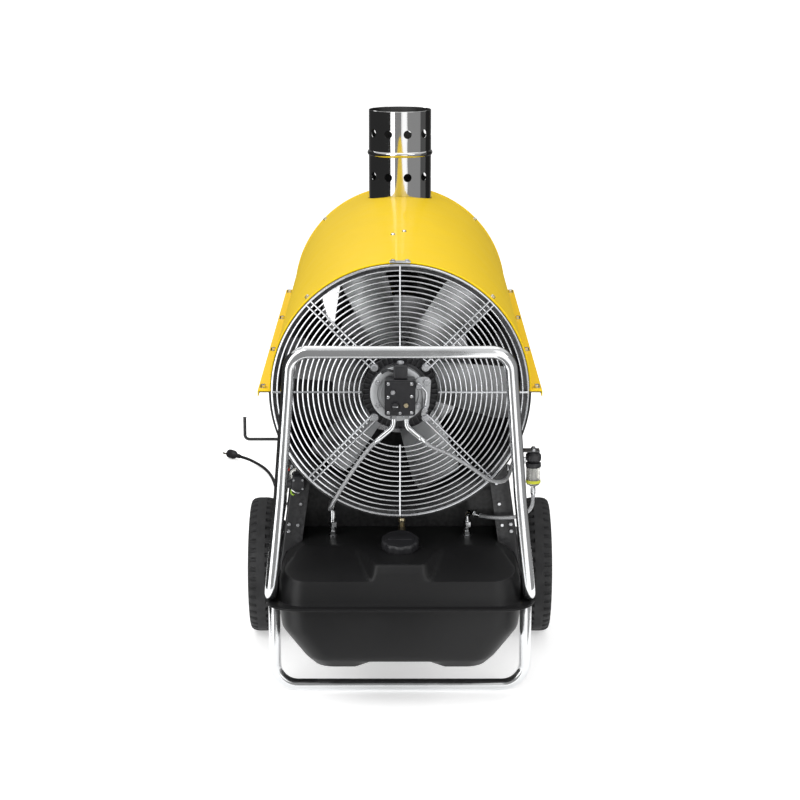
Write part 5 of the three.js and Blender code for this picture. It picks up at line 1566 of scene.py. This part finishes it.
# ---------------------------------------------------------------- fuel filter and hoses
def fuel_filter():
    x, y, low, high = 271.0, 52.0, 487.0, 520.0
    build = Build()
    build.box((x - 15.5, x + 15.5), (y - 15.5, y + 15.5), (low + 8, high), 11)
    skirt = [(14.6, low), (15.4, low + 1), (15.4, low + 9)]
    build.solid(skirt, "z", (x, y, 0), 48)
    for turn in turned(24, "Z", (x, y, 0)):
        with build.placed(turn):
            build.box((14.9, 15.5), (-0.7, 0.7), (low + 1, low + 8), 0.25)
    port = [(5, x - 24.5), (6, x - 23.8), (6, x - 15)]
    place = (0, y, low + 14)
    build.solid(port, "x", place, 24, look=1)
    build.prism(hexagon(7.2), "x", x - 21, x - 15.3, chamfer=0.6, place=place, look=1)
    build.make("filter_cap", [PLASTIC, CHROME], "black_plastic", ["fuel_filter_head"])

    build = Build()
    top = low - 0.3
    # Radius and depth below the bowl's rim.
    bowl = [
        (4.6, 43), (5, 42.4), (5, 40), (9, 38.6), (12.6, 36), (14, 32), (14.4, 28), (14.4, 0),
        (12.6, 0), (12.6, 28), (11.2, 33), (6, 36.4), (0, 37),
    ]
    element = [(8.6, 25), (9, 24), (9, 1)]
    fuel = [(0, 36.8), (6, 36.2), (11, 32.8), (12.4, 28), (12.4, 26)]
    band = [(14.2, 33), (15.1, 32.4), (15.1, 27), (14.5, 26.4)]
    place = (x, y, 0)
    build.solid([(r, top - depth) for r, depth in bowl], "z", place, 56)
    build.solid([(r, top - depth) for r, depth in element], "z", place, 36, look=1)
    build.lathe([(r, top - depth) for r, depth in band], "z", place, 56, look=2)
    build.solid([(r, top - depth) for r, depth in fuel], "z", place, 40, look=3)
    looks = [CLEAR, PAPER, BAND, FUEL]
    build.make("filter_glass", looks, "clear_plastic", ["fuel_filter_bowl"])

    build = Build()
    for across in (-10, 10):
        build.bolt((x, y + across, 523.3), "z", 7.0, 4.0)
    build.bolt((232.5, y, 532.5), "x", 7.0, 3.6)
    build.make("filter_screws", [WIRE], "zinc_wire")


SUCTION_ROUTE = [
    (-38.7, PORT_Y, 571.8), (-58, PORT_Y, 553), (-88, -38.9, 512), (-116, -32, 466),
    (-136, -22, 428), (-141, 6, 410), (-142, 44, 407), (-140.5, 82, 409), (-139.5, 103, 403),
    (-139, 111, 391), (-139, 112, 379.6),
]
RETURN_ROUTE = [
    (38.7, PORT_Y, 571.8), (62, PORT_Y, 554), (100, -38.9, 535), (142, -34, 508), (180, -26, 480),
    (205, -6, 472), (217, 16, 475), (225, 38, 488), (231, 50, 499), (237, 52, 501),
    (246.2, 52, 501),
]
FILTER_ROUTE = [
    (271, 52, 443.4), (271, 52, 424), (268, 54, 402), (255, 57, 387), (234, 59, 379),
    (212, 60, 377), (190, 62, 377), (170, 73, 377), (156.4, 89.5, 377),
]


def fuel_hoses():
    routes = (
        ("suction_hose", SUCTION_ROUTE, 90),
        ("return_hose", RETURN_ROUTE, 90),
        ("filter_hose", FILTER_ROUTE, 70),
    )
    for name, route, count in routes:
        path = smooth_path(route, count)
        build = Build()
        build.tube(path, 4.0, 14)
        build.make(f"{name}_braid", [BRAID], "zinc_wire", [name])
        ends = Build()
        for a, b in ((path[0], path[1]), (path[-1], path[-2])):
            way = (b - a).normalized()
            ends.tube([a, a + way * 2, a + way * 13, a + way * 14], [4.4, 5.1, 5.1, 4.5], 18)
            for crimp in (4, 7, 10):
                spot = a + way * crimp
                ends.tube([spot - way * 0.7, spot, spot + way * 0.7], [5.1, 5.5, 5.1], 18)
        ends.make(f"{name}_ferrules", [CHROME], "chrome")


def place_pieces():
    """Everything but the cord, which is made first."""
    makers = (
        upper_cover, lower_casing, round_sheet_parts, flue, chamber, fan_guard, motor, fan, pump,
        tank_upper_half, tank_lower_half, filler_cap, tank_fittings, frame_tubes, axle_parts,
    )
    for maker in makers:
        maker()
    for side, name in SIDES:
        tyre(side, name)
        rim(side, name)
        saddle_panel(side, name)
    for maker in (controls, cable_entry, hook, fuel_filter, fuel_hoses):
        maker()
    supports = [f"chamber_support_{end}" for end in ("rear", "front")]
    bulkheads = [f"saddle_bulkhead_{end}" for end in ("rear", "front")]
    for node in (*supports, *bulkheads, "filter_bracket"):
        materials = bpy.data.objects[node].data.materials
        materials.clear()
        materials.append(BLACK)


place_pieces()


# ---------------------------------------------------------------- floor and light
ROOM_LIGHT = 0.78
ROOM_SIDES = 0.3  # how bright the room is at its sides
SIDES_FADE = (0.45, 0.85)  # the part of a direction that points sideways, as it darkens
TOP_FADE = (0.15, 0.7)  # the part of a direction that points up, as the room turns white
FLOOR_GLOW = 0.5  # near the machine
FAR_GLOW = 0.55
FLOOR_FADE = (2.0, 7.0)  # metres from the middle between which one glow turns into the other
FLAG_FOOT = 0.85  # metres from the middle to a panel's foot, which lies on the floor
FLAG_REACH = 1.75  # metres from the middle to its upright part
FLAG_HEIGHT = 1.9
FLAG_STEP = 6  # degrees, at least, in each flat of a panel
# Name, place in metres, power in watts and side in metres.
LAMPS = (
    ("key_lamp", (-2.4, -3.0, 3.4), 97, 2.8),
    ("fill_lamp", (3.0, -2.6, 2.4), 47, 2.0),
    ("top_lamp", (0.2, 0.6, 4.4), 28, 3.0),
    ("far_lamp", (-1.5, 4.0, 2.8), 40, 2.4),
)
LAMP_AIM = Vector((0, -0.2, 0.6))
# Angles from the machine's rear towards its right, in degrees, and how bright each panel is.
FLAGS = (
    (-180, -155, 0.12), (-155, -44, 0.03), (-42, -26, 2.6), (-24, 6, 0.29), (12, 30, 1.4),
    (34, 97, 0.32), (97, 124, 0.1), (124, 155, 0.02), (155, 180, 0.12),
)


def make_floor():
    """A pale floor that has a glow of its own where the camera or a reflection sees it."""
    mesh = bpy.data.meshes.new("floor")
    half, level = 60.0, -0.0004
    corners = [(-half, -half), (half, -half), (half, half), (-half, half)]
    mesh.from_pydata([(x, y, level) for x, y in corners], [], [(0, 1, 2, 3)])
    floor = bpy.data.objects.new("floor", mesh)
    SCENE.collection.objects.link(floor)
    look = Look("floor_look", (0.82, 0.82, 0.82), 0.9)
    look.gloss(0.85, 0.95, 2)
    place = look.node("ShaderNodeTexCoord").outputs["Object"]
    reach = look.node("ShaderNodeVectorMath", {0: place}, operation="LENGTH").outputs["Value"]
    fading = look.remap(reach, *FLOOR_FADE, FLOOR_GLOW, FAR_GLOW)
    glow = look.node("ShaderNodeEmission", {"Color": WHITE, "Strength": fading})
    both = look.node("ShaderNodeAddShader", {0: look.shader.outputs[0], 1: glow.outputs[0]})
    rays = look.node("ShaderNodeLightPath").outputs
    seen = look.maths("MAXIMUM", rays["Is Camera Ray"], rays["Is Glossy Ray"])
    seen = look.maths("MAXIMUM", seen, rays["Is Transmission Ray"])
    mixed = look.node("ShaderNodeMixShader", {0: seen, 1: look.shader.outputs[0]})
    look.links.new(both.outputs[0], mixed.inputs[2])
    look.links.new(mixed.outputs[0], look.nodes["Material Output"].inputs["Surface"])
    mesh.materials.append(look.material)


def make_world():
    """White where the camera sees it; a soft room with darker sides for everything else."""
    world = bpy.data.worlds.new("room")
    world.use_nodes = True
    SCENE.world = world
    graph = Graph(world.node_tree)
    light = graph.nodes["Background"]
    direction = graph.node("ShaderNodeTexCoord").outputs["Generated"]
    parts = graph.node("ShaderNodeSeparateXYZ", {0: direction}).outputs
    across = graph.maths("ABSOLUTE", parts["X"])
    sides = graph.remap(across, *SIDES_FADE, 1.0, ROOM_SIDES)
    above = graph.remap(parts["Z"], *TOP_FADE)
    graph.links.new(graph.blend(above, sides, WHITE), light.inputs["Color"])
    light.inputs["Strength"].default_value = ROOM_LIGHT
    white = graph.node("ShaderNodeBackground", {"Color": WHITE, "Strength": 1.0})
    seen = graph.node("ShaderNodeLightPath").outputs["Is Camera Ray"]
    mixed = graph.node("ShaderNodeMixShader", {0: seen, 1: light.outputs[0]})
    graph.links.new(white.outputs[0], mixed.inputs[2])
    graph.links.new(mixed.outputs[0], graph.nodes["World Output"].inputs["Surface"])


def flag_panels():
    """Panels round the machine that show in its metal only, as a studio's flags and strips do."""
    for number, (start, end, shade) in enumerate(FLAGS):
        steps = max(int((end - start) / FLAG_STEP), 1)
        points = []
        for k in range(steps + 1):
            angle = math.radians(start + (end - start) * k / steps)
            x, y = math.sin(angle), -math.cos(angle)
            points.append((x * FLAG_FOOT, y * FLAG_FOOT, 0.001))
            points.append((x * FLAG_REACH, y * FLAG_REACH, 0.001))
            points.append((x * FLAG_REACH, y * FLAG_REACH, FLAG_HEIGHT))
        lows = [3 * k + row for k in range(steps) for row in (0, 1)]
        mesh = bpy.data.meshes.new(f"flag_{number}")
        mesh.from_pydata(points, [], [(low, low + 3, low + 4, low + 1) for low in lows])
        look = Look(f"flag_{number}_look", (1, 1, 1), 1.0)
        glow = look.node("ShaderNodeEmission", {"Strength": shade})
        look.links.new(glow.outputs[0], look.nodes["Material Output"].inputs["Surface"])
        mesh.materials.append(look.material)
        flag = bpy.data.objects.new(f"flag_{number}", mesh)
        SCENE.collection.objects.link(flag)
        flag.visible_camera = False
        flag.visible_diffuse = False
        flag.visible_shadow = False
        flag.visible_transmission = False


def soft_lamp(name, place, power, size):
    data = bpy.data.lights.new(name, "AREA")
    data.shape = "SQUARE"
    data.size = size
    data.energy = power
    lamp = bpy.data.objects.new(name, data)
    lamp.location = place
    aim = LAMP_AIM - Vector(place)
    lamp.rotation_euler = aim.to_track_quat("-Z", "Y").to_euler()
    SCENE.collection.objects.link(lamp)


def make_stage():
    SCENE.view_settings.view_transform = "Standard"
    make_floor()
    make_world()
    flag_panels()
    for lamp in LAMPS:
        soft_lamp(*lamp)


make_stage()
